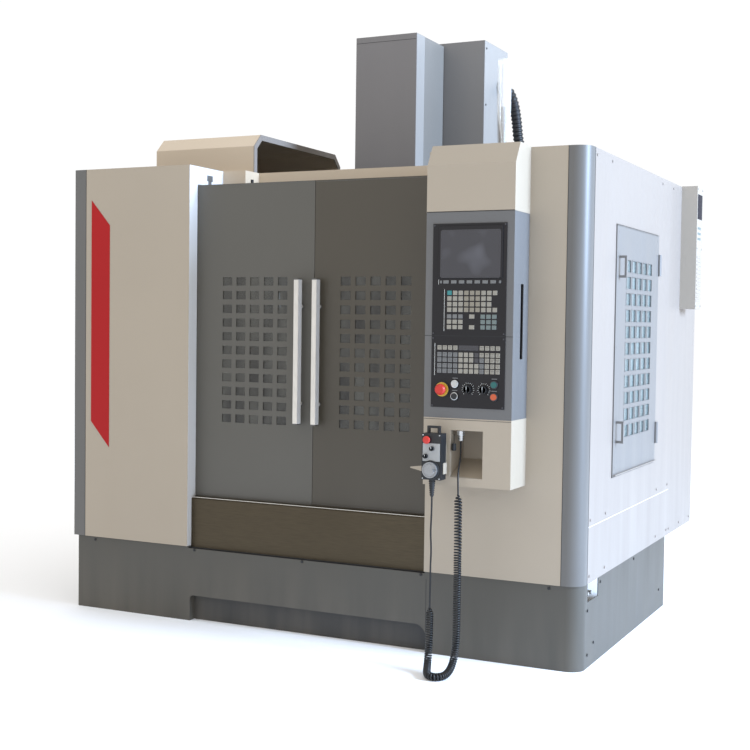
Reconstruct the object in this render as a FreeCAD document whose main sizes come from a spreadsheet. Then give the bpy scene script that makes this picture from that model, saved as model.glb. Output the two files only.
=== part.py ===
import FreeCAD, Part
import math
import os
import re
import Sketcher

Vector = FreeCAD.Vector

# Vertical machining centre with a full sheet-metal enclosure. Millimetres, X to the operator's right,
# Y to the back, Z up. The origin is on the floor, under the spindle axis, at the centre of the four
# anchor bolts of the bed.

SIZES = {
    # enclosure
    "encl_half": 1133, "encl_low": 310, "encl_top": 1880, "front_y": -800, "encl_back": 1002,
    "sheet": 3, "lip": 30, "left_strip": 58, "right_strip": 75, "strip_radius": 55, "skirt_radius": 55,
    # front opening, doors and their windows
    "left_jamb": -547, "right_jamb": 523, "jamb_deep": 250, "sill_z": 514, "apron_low": 302,
    "apron_gap": 30, "door_gap": 60, "door_thick": 32, "door_left": -551, "door_split": 7,
    "door_right": 565, "door_low": 514.6, "door_top": 1802, "left_grid": -420, "right_grid": 124,
    "pane_wide": 44, "pane_tall": 34, "pane_across": 65, "pane_up": 56, "grid_low": 828,
    "glass": 6, "handle_low": 839, "handle_tall": 572, "handle_wide": 20, "handle_deep": 30,
    "left_handle": -49, "right_handle": 32, "stud_low": 919, "stud_high": 1305, "stud_radius": 8,
    "rail_z": 1745, "rail_tall": 34, "rail_thick": 24, "beam_gap": 360, "beam_half": 435,
    "beam_tall": 120,
    # base
    "base_left": 17, "base_back": 479, "toe_left": -538, "toe_right": 529, "toe_tall": 106,
    "toe_deep": 36,
    # side door in the right wall
    "side_front": -427, "side_back": 235, "side_low": 667, "side_top": 1628, "side_gap": 3,
    "side_thick": 26, "side_grid_y": -281, "side_grid_z": 810, "side_pane_wide": 62,
    "side_pane_tall": 47, "side_across": 84, "side_up": 64.4, "grip_tall": 84, "grip_deep": 34,
    "grip_low": 796, "grip_high": 1428,
    # bed, column and slides
    "bed_half": 330, "bed_front": -470, "bed_back": 780, "bed_low": 40, "bed_top": 590,
    "way_tall": 40, "way_wide": 50, "way_half": 250, "slip": 0.3, "bolt_across": 560,
    "bolt_deep": 900, "bolt_radius": 11, "lug_half": 60, "column_half": 230, "column_front": 430,
    "column_top": 1950, "saddle_half": 400, "saddle_reach": 220, "saddle_tall": 120,
    "cross_tall": 30, "cross_half": 160, "cross_wide": 40, "table_half": 450, "table_reach": 200,
    "table_thick": 70, "slot_wide": 18, "slot_pitch": 100, "screw_radius": 14, "run_gap": 0.05,
    # head and spindle
    "head_half": 130, "head_front": -85, "head_low": 1500, "head_tall": 400, "shaft_radius": 45,
    "nose_radius": 60, "nose_long": 50, "taper_radius": 22, "taper_long": 65, "cover_half": 146,
    "cover_front": -100, "cover_lip": 88, "cover_back": 200, "cover_top": 2500, "cover_low": 1560,
    "cover_step": 8, "crown_left": -295, "crown_right": 343, "crown_front": 203,
    "crown_back": 500, "crown_top": 2513,
    # tool changer
    "drum_x": -620, "drum_z": 1380, "drum_thick": 50, "drum_radius": 292, "pocket_pitch": 260,
    "pocket_radius": 26, "pocket_count": 20, "hub_radius": 55, "pin_radius": 20,
    "arm_left": -985, "arm_right": -155, "arm_half": 60, "arm_low": 1850, "arm_tall": 70,
    "hood_left": -1000, "hood_right": -488, "hood_front": -400, "hood_back": 405, "hood_top": 180,
    "hood_slope": 55,
    # console
    "con_left": 583, "con_right": 918, "con_low": 907.3, "con_top": 1641, "con_deep": 158,
    "con_clear": 3, "pivot_x": 593, "pivot_gap": 62, "pivot_radius": 12, "panel_left": 611,
    "panel_right": 891, "panel_low": 945, "panel_top": 1600, "panel_thick": 3, "box_top": 4,
    "box_slope": 75, "head_z": 1641.6, "shelf_low": 663, "shelf_top": 907, "recess_left": 688,
    "recess_right": 812, "recess_low": 695, "recess_top": 864, "slit_low": 1121,
    "slit_high": 1388, "button_radius": 11, "button_long": 19,
    "bezel_radius": 15, "bezel_thick": 5, "stop_radius": 20, "stem_radius": 8, "knob_radius": 14,
    "knob_long": 15, "axle_radius": 4,
    # hand wheel pendant
    "pend_x": 648, "pend_low": 690, "pend_tall": 165, "pend_wide": 74, "pend_deep": 46,
    "pend_gap": 31, "pend_strain": 62, "dial_radius": 28, "dial_z": 726, "dial_thick": 14,
    # lamp, cabinet, cooler
    "lamp_x": 775, "lamp_gap": 100, "lamp_radius": 26, "lamp_top": 343, "cab_left": 560,
    "cab_front": 580, "cab_low": 330, "cab_top": 1860, "cooler_deep": 71, "cooler_front": 667,
    "cooler_wide": 113, "cooler_low": 1326, "cooler_top": 2,
    # cord of the pendant
    "cord_radius": 3.25, "curl_radius": 10.5,
}

doc = FreeCAD.newDocument("machining_centre")
sheet = doc.addObject("Spreadsheet::Sheet", "dims")
for row, (alias, number) in enumerate(SIZES.items(), 1):
    sheet.set(f"A{row}", alias)
    sheet.set(f"B{row}", str(number))
    sheet.setAlias(f"B{row}", alias)
doc.recompute()

PARTS = []
FRONT = "front_y"


def formula(text):
    """Turn plain size names into references to the sheet."""
    return re.sub(r"[a-z][a-z_]+", lambda word: "dims." + word.group(0)
                  if word.group(0) in SIZES else word.group(0), str(text))


def size(name):
    return float(sheet.get(name))


def bind(thing, prop, text):
    thing.setExpression(prop, formula(text))


def part(name, thing):
    """Name a finished sub-part: its label is the name of its file."""
    thing.Label = name
    PARTS.append(thing)
    return thing


def put(thing, x, y, z):
    for axis, text in zip("xyz", (x, y, z)):
        bind(thing, f"Placement.Base.{axis}", text)
    return thing


def block(x, y, z):
    """A box between two bounds along each axis."""
    box = doc.addObject("Part::Box", "block")
    for prop, (low, high) in zip(("Length", "Width", "Height"), (x, y, z)):
        bind(box, prop, f"({high}) - ({low})")
    return put(box, x[0], y[0], z[0])


TURNS = {"z": FreeCAD.Rotation(), "x": FreeCAD.Rotation(Vector(0, 1, 0), 90),
         "y": FreeCAD.Rotation(Vector(1, 0, 0), -90)}


def rod(axis, radius, start, length):
    """A cylinder from a start point along +X, +Y or +Z."""
    bar = doc.addObject("Part::Cylinder", "rod")
    bar.Placement.Rotation = TURNS[axis]
    bind(bar, "Radius", radius)
    bind(bar, "Height", length)
    return put(bar, *start)


def taper(axis, radius, end_radius, start, length):
    cone = doc.addObject("Part::Cone", "taper")
    cone.Placement.Rotation = TURNS[axis]
    bind(cone, "Radius1", radius)
    bind(cone, "Radius2", end_radius)
    bind(cone, "Height", length)
    return put(cone, *start)


def fuse(*things):
    joined = doc.addObject("Part::MultiFuse", "fuse")
    joined.Shapes = list(things)
    return joined


def cut(base, *tools):
    left = doc.addObject("Part::Cut", "cut")
    left.Base = base
    left.Tool = tools[0] if len(tools) == 1 else fuse(*tools)
    return left


def group(*things):
    """Separate solids that are one kind of piece."""
    together = doc.addObject("Part::Compound", "group")
    together.Links = list(things)
    return together


def draw(body, plane, loops):
    """A sketch on one of the body's own planes, each corner bound to the sheet."""
    sketch = body.newObject("Sketcher::SketchObject", "outline")
    origin = [flat for flat in body.Origin.OriginFeatures if flat.Role == plane][0]
    sketch.AttachmentSupport = [(origin, "")]
    sketch.MapMode = "FlatFace"
    for corners in loops:
        first = sketch.GeometryCount
        count = len(corners)
        ring = [Vector(10 * math.cos(2 * math.pi * i / count), 10 * math.sin(2 * math.pi * i / count), 0)
                for i in range(count)]
        for i in range(count):
            sketch.addGeometry(Part.LineSegment(ring[i], ring[(i + 1) % count]), False)
        for i in range(count):
            after = first + (i + 1) % count
            sketch.addConstraint(Sketcher.Constraint("Coincident", first + i, 2, after, 1))
        for i, corner in enumerate(corners):
            for way, text in zip(("DistanceX", "DistanceY"), corner):
                mark = sketch.addConstraint(Sketcher.Constraint(way, -1, 1, first + i, 1, 1.0))
                sketch.setExpression(f"Constraints[{mark}]", formula(text))
    return sketch


def plate(plane, corners, thick, at):
    """A flat or folded section, padded: XZ goes towards -Y, YZ towards +X, XY towards +Z."""
    body = doc.addObject("PartDesign::Body", "plate")
    pad = body.newObject("PartDesign::Pad", "skin")
    pad.Profile = draw(body, plane, [corners])
    bind(pad, "Length", thick)
    return put(body, *at)


def rectangle(u, v):
    return [(u[0], v[0]), (u[1], v[0]), (u[1], v[1]), (u[0], v[1])]


def grid(body, plane, first, size_uv, pitch_uv, columns, rows):
    """A row of window apertures cut through, repeated upwards."""
    row = draw(body, plane, [rectangle((f"{first[0]} + {i}*{pitch_uv[0]}",
                                        f"{first[0]} + {i}*{pitch_uv[0]} + {size_uv[0]}"),
                                       (first[1], f"{first[1]} + {size_uv[1]}"))
                             for i in range(columns)])
    pocket = body.newObject("PartDesign::Pocket", "apertures")
    pocket.Profile = row
    pocket.Type = "ThroughAll"
    pocket.Midplane = True
    pattern = body.newObject("PartDesign::LinearPattern", "aperture_rows")
    pattern.Originals = [pocket]
    pattern.Direction = (row, ["V_Axis"])
    pattern.Occurrences = rows
    pattern.Mode = "Spacing"
    bind(pattern, "Offset", pitch_uv[1])
    body.Tip = pattern
    return body


def back(distance):
    """A place measured back from the enclosure's front face."""
    return f"front_y + {distance}"


def rolled_corner(radius, thick, front, low, high):
    """Sheet rolled a quarter turn round the right front corner, between two heights."""
    centre = (f"encl_half - {radius}", back(f"{front} + {radius}"))
    tall = f"{high} - ({low})"
    ring = cut(rod("z", radius, (*centre, low), tall),
               rod("z", f"{radius} - {thick}", (*centre, f"{low} - 5"), f"{tall} + 10"))
    quarter = doc.addObject("Part::Common", "quarter")
    quarter.Base = ring
    quarter.Tool = block((centre[0], "encl_half"), (back(front), centre[1]), (low, high))
    return quarter


# ---- base and machine frame -------------------------------------------------------------------

def base_skirt():
    """Folded skirt round the base, open behind, rolled round the right corner, with a toe recess."""
    left, right = "-encl_half + base_left", "encl_half"
    outer = block((left, right), (back("9"), "base_back"), ("0", "encl_low - lip"))
    room = block((f"{left} + sheet", f"{right} - sheet"), (back("9 + sheet"), "base_back + 5"),
                 ("-5", "encl_low + 5"))
    toe = block(("toe_left", "toe_right"), (back("0"), back("9 + toe_deep")), ("-5", "toe_tall"))
    kick = block(("toe_left", "toe_right"), (back("9 + toe_deep"), back("9 + toe_deep + sheet")),
                 ("0", "toe_tall"))
    soffit = block(("toe_left", "toe_right"), (back("9"), back("9 + toe_deep + sheet")),
                   ("toe_tall", "toe_tall + sheet"))
    cheeks = [block((x, f"{x} + sheet"), (back("9"), back("9 + toe_deep + sheet")),
                    ("0", "toe_tall + sheet")) for x in ("toe_left - sheet", "toe_right")]
    top = block((left, right), (back("9"), back("9 + lip")), ("encl_low - lip", "encl_low - lip + sheet"))
    side_tops = [block((x, f"{x} + sheet"), (back("9"), "base_back"), ("encl_low - lip", "encl_low - 0.3"))
                 for x in (left, f"{right} - sheet")]
    front_top = cut(block((left, right), (back("9"), back("9 + sheet")),
                          ("encl_low - lip", "encl_low - slip")),
                    block(("left_jamb", "right_jamb"), (back("0"), back("20")),
                          ("apron_low - slip", "encl_low")))
    notch = block((f"{right} - 10", f"{right} + 5"), (back("86"), back("222")), ("243", "encl_low + 1"))
    corner = block((f"{right} - skirt_radius", f"{right} + 5"), (back("0"), back("9 + skirt_radius")),
                   ("-5", "encl_low + 5"))
    folded = cut(fuse(cut(outer, room, toe), kick, soffit, *cheeks, top,
                      cut(fuse(*side_tops), notch), front_top), notch, corner)
    wall = rolled_corner("skirt_radius", "sheet", "9", "0", "encl_low - slip")
    flange = rolled_corner("skirt_radius", "lip", "9", "encl_low - lip", "encl_low - lip + sheet")
    return part("base_skirt", fuse(folded, wall, flange))


def bed_casting():
    """Grey iron bed: a ribbed box with two ways, screw bearings and four bolted lugs."""
    box = block(("-bed_half", "bed_half"), ("bed_front", "bed_back"), ("bed_low", "bed_top"))
    hollow = block(("-bed_half + 40", "bed_half - 40"), ("bed_front + 40", "bed_back - 40"),
                   ("bed_low - 5", "bed_top - 60"))
    rib = block(("-20", "20"), ("bed_front + 20", "bed_back - 20"), ("bed_low", "bed_top - 30"))
    ways = [block((x, f"{x} + way_wide"), ("bed_front + 10", "column_front - 5"),
                  ("bed_top", "bed_top + way_tall - slip")) for x in ("-way_half", "way_half - way_wide")]
    bearings = []
    for y in ("bed_front + 12", "column_front - 26"):
        seat = block(("-32", "32"), (y, f"{y} + 22"), ("bed_top", "bed_top + way_tall - 2"))
        bore = rod("y", "screw_radius + run_gap", ("0", f"{y} - 5", "bed_top + way_tall/2"), "40")
        bearings.append(cut(seat, bore))
    lugs, pockets, bores = [], [], []
    for x, reach in (("-bolt_across/2", ("- lug_half - 300", "+ lug_half - 15")),
                     ("bolt_across/2", ("- lug_half + 15", "+ lug_half + 300"))):
        for y in ("-bolt_deep/2", "bolt_deep/2"):
            lugs.append(block((f"{x} - lug_half", f"{x} + lug_half"), (f"{y} - lug_half", f"{y} + lug_half"),
                              ("0", "bed_low + 10")))
            pockets.append(block((f"{x} {reach[0]}", f"{x} {reach[1]}"), (f"{y} - 40", f"{y} + 40"),
                                 ("bed_low + 10", "bed_low + 90")))
            bores.append(rod("z", "bolt_radius", (x, y, "-5"), "bed_low + 60"))
    body = fuse(cut(box, hollow, *pockets), rib, *ways, *bearings, *lugs)
    return part("bed_casting", group(cut(body, *bores), *levelling_feet()))


def levelling_feet():
    """Six levelling screws on round pads under the bed walls."""
    feet = []
    for x in ("-bed_half + 20", "bed_half - 20"):
        for y in ("bed_front + 142", "60", "bed_back - 60"):
            pad = rod("z", "45", (x, y, "0"), "18")
            stem = rod("z", "14", (x, y, "18"), "bed_low - 18")
            feet.append(fuse(pad, stem))
    return feet


def column_casting():
    """Hollow iron column with its own ways and the bearings of the vertical screw."""
    wall = block(("-column_half", "column_half"), ("column_front", "bed_back"), ("bed_top", "column_top"))
    hollow = block(("-column_half + 30", "column_half - 30"), ("column_front + 35", "bed_back - 30"),
                   ("bed_top - 5", "column_top - 40"))
    ways = [block((x, f"{x} + cross_wide"), ("column_front - way_tall", "column_front"),
                  ("bed_top + 330", "column_top - 5")) for x in ("-200", "200 - cross_wide")]
    bearings = []
    for z in ("bed_top + 355", "head_low + head_tall + 12"):
        seat = block(("-34", "34"), ("column_front - way_tall + 2", "column_front"), (z, f"{z} + 24"))
        bore = rod("z", "screw_radius + run_gap", ("0", "column_front - way_tall/2", f"{z} - 5"), "40")
        bearings.append(cut(seat, bore))
    return part("column_casting", fuse(cut(wall, hollow), *ways, *bearings))


def column_top_cover():
    """Sheet box over the column top, open below."""
    outer = block(("crown_left", "crown_right"), ("crown_front", "crown_back"),
                  ("column_top", "crown_top"))
    room = block(("crown_left + sheet", "crown_right - sheet"), ("crown_front + sheet",
                 "crown_back - sheet"), ("column_top - 5", "crown_top - sheet"))
    return part("column_top_cover", cut(outer, room))


def splash_tray():
    """Chip pan round the bed: floor, low walls and a hole for the bed."""
    span = "encl_half - 130"
    outer = block((f"-({span})", span), (back("jamb_deep + 6"), "column_front - 20"), ("330", "500"))
    room = block((f"-({span}) + sheet", f"{span} - sheet"), (back("jamb_deep + 6 + sheet"),
                 "column_front - 20 - sheet"), ("330 + sheet", "510"))
    hole = block(("-bed_half - slip", "bed_half + slip"), ("bed_front - slip", "column_front + 20"),
                 ("320", "510"))
    return part("splash_tray", cut(outer, room, hole))


# ---- enclosure --------------------------------------------------------------------------------

def front_panel(name, left, right, jamb, edge):
    """Folded front cover with its top and bottom lips and the jamb beside the doors, which has a
    slot that the door passes through."""
    face = block((left, right), (back("0"), back("sheet")), ("encl_low", "encl_top"))
    lips = [block((left, right), (back("0"), back(f"{depth}")), (z, f"{z} + sheet"))
            for z, depth in (("encl_low", "lip"), ("encl_top - sheet", "150"))]
    side = block(edge, (back("0"), back("jamb_deep")), ("encl_low", "encl_top"))
    slot = block((f"{jamb} - 10", f"{jamb} + 10"), (back("door_gap - 4"),
                 back("door_gap + door_thick + rail_thick + 22")), ("door_low - 8", "door_top + 6"))
    shelf = block((f"{jamb} - 10", f"{jamb} + 10"), (back("apron_gap"), back("door_gap + 60")),
                  ("encl_low - 1", "sill_z + 0.5"))
    return part(name, fuse(face, *lips, cut(side, slot, shelf)))


def corner_strips():
    """The dark corner posts: the right one is rolled round the corner."""
    left = block(("-encl_half", "-encl_half + left_strip"), (back("0"), back("sheet")),
                 ("encl_low", "encl_top"))
    left_side = block(("-encl_half", "-encl_half + sheet"), (back("0"), back("40")),
                      ("encl_low", "encl_top"))
    radius = "strip_radius"
    quarter = rolled_corner(radius, "sheet", "0", "encl_low", "encl_top")
    flat = block(("encl_half - right_strip", f"encl_half - {radius}"), (back("0"), back("sheet")),
                 ("encl_low", "encl_top"))
    right_side = block(("encl_half - sheet", "encl_half"), (back(radius), back("77")),
                       ("encl_low", "encl_top"))
    return part("corner_strips", group(fuse(left, left_side), fuse(quarter, flat, right_side)))


def side_wall(name, side, front, windows=()):
    """Side wall of folded sheet with lips turned inwards at top, bottom and back."""
    if side > 0:
        skin, lip = ("encl_half - sheet", "encl_half"), ("encl_half - lip", "encl_half")
    else:
        skin, lip = ("-encl_half", "-encl_half + sheet"), ("-encl_half", "-encl_half + lip")
    face = block(skin, (back(front), "encl_back"), ("encl_low", "encl_top"))
    folds = [block(lip, (back(front), "encl_back"), (z, f"{z} + sheet"))
             for z in ("encl_low", "encl_top - sheet")]
    rear = block(lip, ("encl_back - sheet", "encl_back"), ("encl_low", "encl_top"))
    whole = fuse(face, *folds, rear)
    return part(name, cut(whole, *windows) if windows else whole)


def side_opening():
    return block(("encl_half - 20", "encl_half + 5"), ("side_front - side_gap", "side_back + side_gap"),
                 ("side_low - side_gap", "side_top + side_gap"))


def cooler_opening():
    return block(("encl_half - 40", "encl_half + 5"), ("cooler_front + 12",
                 "cooler_front + cooler_wide - 12"), ("cooler_low + 12", "encl_top - 20"))


def rear_panel():
    """Plain sheet that closes the back beside the electrical cabinet."""
    face = block(("-encl_half + lip", "cab_left - 2"), ("encl_back - sheet", "encl_back"),
                 ("encl_low", "encl_top"))
    folds = [block(("-encl_half + lip", "cab_left - 2"), ("encl_back - lip", "encl_back"),
                   (z, f"{z} + sheet")) for z in ("encl_low", "encl_top - sheet")]
    return part("rear_panel", fuse(face, *folds))


def front_apron():
    """Folded apron below the doors: a thin front face and a sill that slopes back under them."""
    near, deep = "apron_gap", "door_gap + door_thick + 14"
    corners = [(near, "apron_low"), (f"{near} + sheet", "apron_low"), (f"{near} + sheet", "sill_z - 8"),
               (f"{near} + 10", "sill_z - sheet"), (deep, "sill_z - sheet"), (deep, "sill_z"),
               (f"{near} + 8", "sill_z"), (near, "sill_z - 8")]
    return part("front_apron", plate("YZ_Plane", corners, "right_jamb - left_jamb",
                                     ("left_jamb", FRONT, "0")))


def front_header():
    """Cross beam behind the doors at the top, and the cheek plates that carry it."""
    beam = block(("-beam_half", "right_jamb"), (back("beam_gap"), back("beam_gap + 60")),
                 ("encl_top - beam_tall", "encl_top"))
    plates = []
    for low, high in (("-beam_half - sheet", "-beam_half"), ("right_jamb", "right_jamb + sheet")):
        plates.append(block((low, high), (back("jamb_deep"), back("beam_gap + 20")),
                            ("sill_z", "encl_top")))
    link = block(("left_jamb", "-beam_half"), (back("jamb_deep"), back("jamb_deep + sheet")),
                 ("sill_z", "encl_top"))
    return part("front_header", fuse(beam, *plates, link))


def door_rails():
    """Flat beam with a rail that both doors hang on, between the two front covers."""
    span = ("left_jamb - 526", "right_jamb + 526")
    gap = "door_gap + door_thick + 14"
    rail = block(span, (back(gap), back(f"{gap} + rail_thick")), ("rail_z", "rail_z + rail_tall"))
    beam = block(span, (back(f"{gap} + rail_thick"), back(f"{gap} + rail_thick + 6")),
                 ("rail_z - 20", "rail_z + rail_tall + 20"))
    ends = [block((x, f"{x} + 6"), (back("sheet"), back(f"{gap} + rail_thick + 6")),
                  ("rail_z - 20", "rail_z + rail_tall + 20")) for x in (span[0], f"{span[1]} - 6")]
    return part("door_rails", fuse(rail, beam, *ends))


def toolchanger_hood():
    """Raised roof over the tool changer, with sloped front and back and an open right end."""
    near, far, high = "hood_front", "hood_back", "encl_top + hood_top"
    low = f"{high} - hood_slope"
    inset = "sheet*1.3"
    corners = [(near, "encl_top"), (near, low), (f"{near} + hood_slope", high),
               (f"{far} - hood_slope", high), (far, low), (far, "encl_top")]
    inner = [(f"{far} - {inset}", "encl_top"), (f"{far} - {inset}", f"{low} - {inset}/2"),
             (f"{far} - hood_slope - {inset}/2", f"{high} - {inset}"),
             (f"{near} + hood_slope + {inset}/2", f"{high} - {inset}"),
             (f"{near} + {inset}", f"{low} - {inset}/2"), (f"{near} + {inset}", "encl_top")]
    roof = plate("YZ_Plane", corners + inner, "hood_right - hood_left", ("hood_left", "0", "0"))
    end = plate("YZ_Plane", corners, "sheet", ("hood_left", "0", "0"))
    roof_left = block(("-encl_half + sheet", "hood_left"), (near, far), ("encl_top", "encl_top + sheet"))
    seats = [block(("-encl_half", "hood_right"), (y, f"{y} + 40"), ("encl_top", "encl_top + sheet"))
             for y in ("hood_front - 40", "hood_back")]
    return part("toolchanger_hood", fuse(roof, end, roof_left, *seats))


# ---- doors ------------------------------------------------------------------------------------

def sliding_door(side):
    """Folded door panel with a grid of window apertures and two hangers behind its top."""
    name = "left_door" if side < 0 else "right_door"
    left, right = ("door_left", "door_split - 1") if side < 0 else ("door_split + 1", "door_right")
    first = "left_grid" if side < 0 else "right_grid"
    body = doc.addObject("PartDesign::Body", "skin")
    pad = body.newObject("PartDesign::Pad", "face")
    pad.Profile = draw(body, "XZ_Plane", [rectangle((left, right), ("door_low", "door_top"))])
    bind(pad, "Length", "sheet")
    grid(body, "XZ_Plane", (first, "grid_low"), ("pane_wide", "pane_tall"), ("pane_across", "pane_up"), 5, 11)
    bind(body, "Placement.Base.y", back("door_gap + sheet"))
    rims = [block((left, right), (back("door_gap"), back("door_gap + door_thick")), (z, f"{z} + sheet"))
            for z in ("door_low", "door_top - sheet")]
    rims += [block((x, f"{x} + sheet"), (back("door_gap"), back("door_gap + door_thick")),
                   ("door_low", "door_top")) for x in (left, f"{right} - sheet")]
    hangers = []
    for x in (f"{left} + 60", f"{right} - 120"):
        hangers.append(block((x, f"{x} + 60"), (back("door_gap + sheet"),
                             back("door_gap + door_thick + 14 - slip")), ("rail_z", "rail_z + rail_tall")))
    door = part(name, fuse(body, *rims, *hangers))
    wide = "4*pane_across + pane_wide"
    part(f"{name}_window", block((f"{first} - 12", f"{first} + {wide} + 12"), (back("door_gap + sheet"),
         back("door_gap + sheet + glass")), ("grid_low - 12", "grid_low + 10*pane_up + pane_tall + 12")))
    middle = "left_handle" if side < 0 else "right_handle"
    bar = block((f"{middle} - handle_wide/2", f"{middle} + handle_wide/2"),
                (back("12"), back("12 + handle_deep")), ("handle_low", "handle_low + handle_tall"))
    studs = [rod("y", "stud_radius", (middle, back("12 + handle_deep - 1"), z),
                 "door_gap - 12 - handle_deep + 1") for z in ("stud_low", "stud_high")]
    part(f"{name}_handle", fuse(bar, *studs))
    return door


def side_door():
    """Service door flush in the right wall, with its own window grid and two edge grips."""
    body = doc.addObject("PartDesign::Body", "skin")
    pad = body.newObject("PartDesign::Pad", "face")
    pad.Profile = draw(body, "YZ_Plane", [rectangle(("side_front", "side_back"), ("side_low", "side_top"))])
    bind(pad, "Length", "sheet")
    grid(body, "YZ_Plane", ("side_grid_y", "side_grid_z"), ("side_pane_wide", "side_pane_tall"),
         ("side_across", "side_up"), 5, 11)
    bind(body, "Placement.Base.x", "encl_half + 1")
    outer = "encl_half + 1"
    rims = [block(("encl_half - side_thick", outer), ("side_front", "side_back"), (z, f"{z} + sheet"))
            for z in ("side_low", "side_top - sheet")]
    rims += [block(("encl_half - side_thick", outer), (y, f"{y} + sheet"), ("side_low", "side_top"))
             for y in ("side_front", "side_back - sheet")]
    knuckles = [rod("z", "8", ("encl_half + 8 + slip", "side_back + 2", z), "90")
                for z in ("side_low + 80", "side_top - 170")]
    grips = []
    for z in ("grip_low", "grip_high"):
        bar = block(("encl_half + grip_deep - 8", "encl_half + grip_deep"), ("side_front + 31",
                    "side_front + 45"), (z, f"{z} + grip_tall"))
        legs = [block(("encl_half + 4", "encl_half + grip_deep"), ("side_front + 31", "side_front + 45"),
                      (low, f"{low} + 9")) for low in (z, f"{z} + grip_tall - 9")]
        grips.append(fuse(bar, *legs))
    part("side_door", group(fuse(body, *rims, *knuckles), *grips))


# ---- slides, head and spindle -----------------------------------------------------------------

def table_and_saddle():
    """Saddle on the bed ways and slotted table on the saddle ways, each with the nut of its screw."""
    low = "bed_top + way_tall"
    plate_low = block(("-saddle_half", "saddle_half"), ("-saddle_reach", "saddle_reach"),
                      (low, f"{low} + saddle_tall"))
    nut = block(("-34", "34"), ("-40", "40"), ("bed_top + 3", low))
    nut_bore = rod("y", "screw_radius + run_gap", ("0", "-60", "bed_top + way_tall/2"), "120")
    top = f"{low} + saddle_tall"
    ways = [block(("-saddle_half", "saddle_half"), (y, f"{y} + cross_wide"),
                  (top, f"{top} + cross_tall - slip")) for y in ("-cross_half", "cross_half - cross_wide")]
    ends = []
    for x in ("-saddle_half + 2", "saddle_half - 24"):
        seat = block((x, f"{x} + 22"), ("-26", "26"), (top, f"{top} + cross_tall - 2"))
        ends.append(cut(seat, rod("x", "11 + run_gap", (f"{x} - 5", "0", f"{top} + cross_tall/2"), "40")))
    part("saddle", fuse(plate_low, cut(nut, nut_bore), *ways, *ends))
    under = f"{top} + cross_tall"
    slab = block(("-table_half", "table_half"), ("-table_reach", "table_reach"),
                 (under, f"{under} + table_thick"))
    slots = []
    for i in (-1, 0, 1):
        middle = f"{i}*slot_pitch"
        slots.append(block(("-table_half - 5", "table_half + 5"), (f"{middle} - slot_wide/2",
                           f"{middle} + slot_wide/2"), (f"{under} + table_thick - 35",
                           f"{under} + table_thick + 5")))
        slots.append(block(("-table_half - 5", "table_half + 5"), (f"{middle} - 15", f"{middle} + 15"),
                           (f"{under} + table_thick - 35", f"{under} + table_thick - 21")))
    nut_two = cut(block(("-30", "30"), ("-26", "26"), (f"{top} + 2", under)),
                  rod("x", "11 + run_gap", ("-50", "0", f"{top} + cross_tall/2"), "100"))
    part("table", fuse(cut(slab, *slots), nut_two))
    part("y_screw", rod("y", "screw_radius", ("0", "bed_front + 4", "bed_top + way_tall/2"),
                        "column_front - bed_front - 10"))
    part("x_screw", rod("x", "11", ("-saddle_half - 6", "0", f"{top} + cross_tall/2"), "2*saddle_half + 12"))
    part("z_screw", rod("z", "screw_radius", ("0", "column_front - way_tall/2", "bed_top + 345"),
                        "head_low + head_tall + 50 - bed_top - 345"))


def head():
    """Spindle head on the column ways, with its tall sheet cover."""
    far = "column_front - way_tall - slip"
    slab = block(("-head_half", "head_half"), ("head_front", far), ("head_low", "head_low + head_tall"))
    guides = block(("-200", "200"), (f"{far} - 60", far), ("head_low + 20", "head_low + head_tall"))
    nut = block(("-34", "34"), (far, "column_front - 3"), ("head_low + 150", "head_low + 230"))
    nut_bore = rod("z", "screw_radius + run_gap", ("0", "column_front - way_tall/2", "head_low + 100"), "200")
    bore = rod("z", "shaft_radius + run_gap", ("0", "0", "head_low - 5"), "head_tall + 10")
    part("head_casting", fuse(cut(fuse(slab, guides), bore), cut(nut, nut_bore)))
    shaft = rod("z", "shaft_radius", ("0", "0", "head_low - 5"), "head_tall")
    nose = rod("z", "nose_radius", ("0", "0", "head_low - nose_long"), "nose_long - slip")
    socket = taper("z", "taper_radius", "taper_radius*0.55", ("0", "0", "head_low - nose_long - 0.01"),
                   "taper_long")
    part("spindle", cut(fuse(shaft, nose), socket))
    side = "cover_half"
    step = "cover_step"
    corners = [(f"-{side}", "cover_front"), (side, "cover_front"), (side, "cover_front + cover_lip"),
               (f"{side} - {step}", "cover_front + cover_lip"), (f"{side} - {step}", "cover_back"),
               (f"-{side} + {step}", "cover_back"), (f"-{side} + {step}", "cover_front + cover_lip"),
               (f"-{side}", "cover_front + cover_lip")]
    shell = plate("XY_Plane", corners, "cover_top - cover_low", ("0", "0", "cover_low"))
    room = block((f"-{side} + {step} + 2", f"{side} - {step} - 2"), ("cover_front + sheet", "cover_back - 2"),
                 ("cover_low - 5", "cover_top - sheet"))
    cuts = block(("-head_half - slip", "head_half + slip"), ("cover_back - 20", "cover_back + 20"),
                 ("cover_low - 5", "head_low + head_tall + 4"))
    wings = block(("-201", "201"), ("cover_back - 1", "cover_back + 20"), ("cover_low - 5", "cover_low"))
    part("head_cover", cut(shell, room, cuts, wings))


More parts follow.
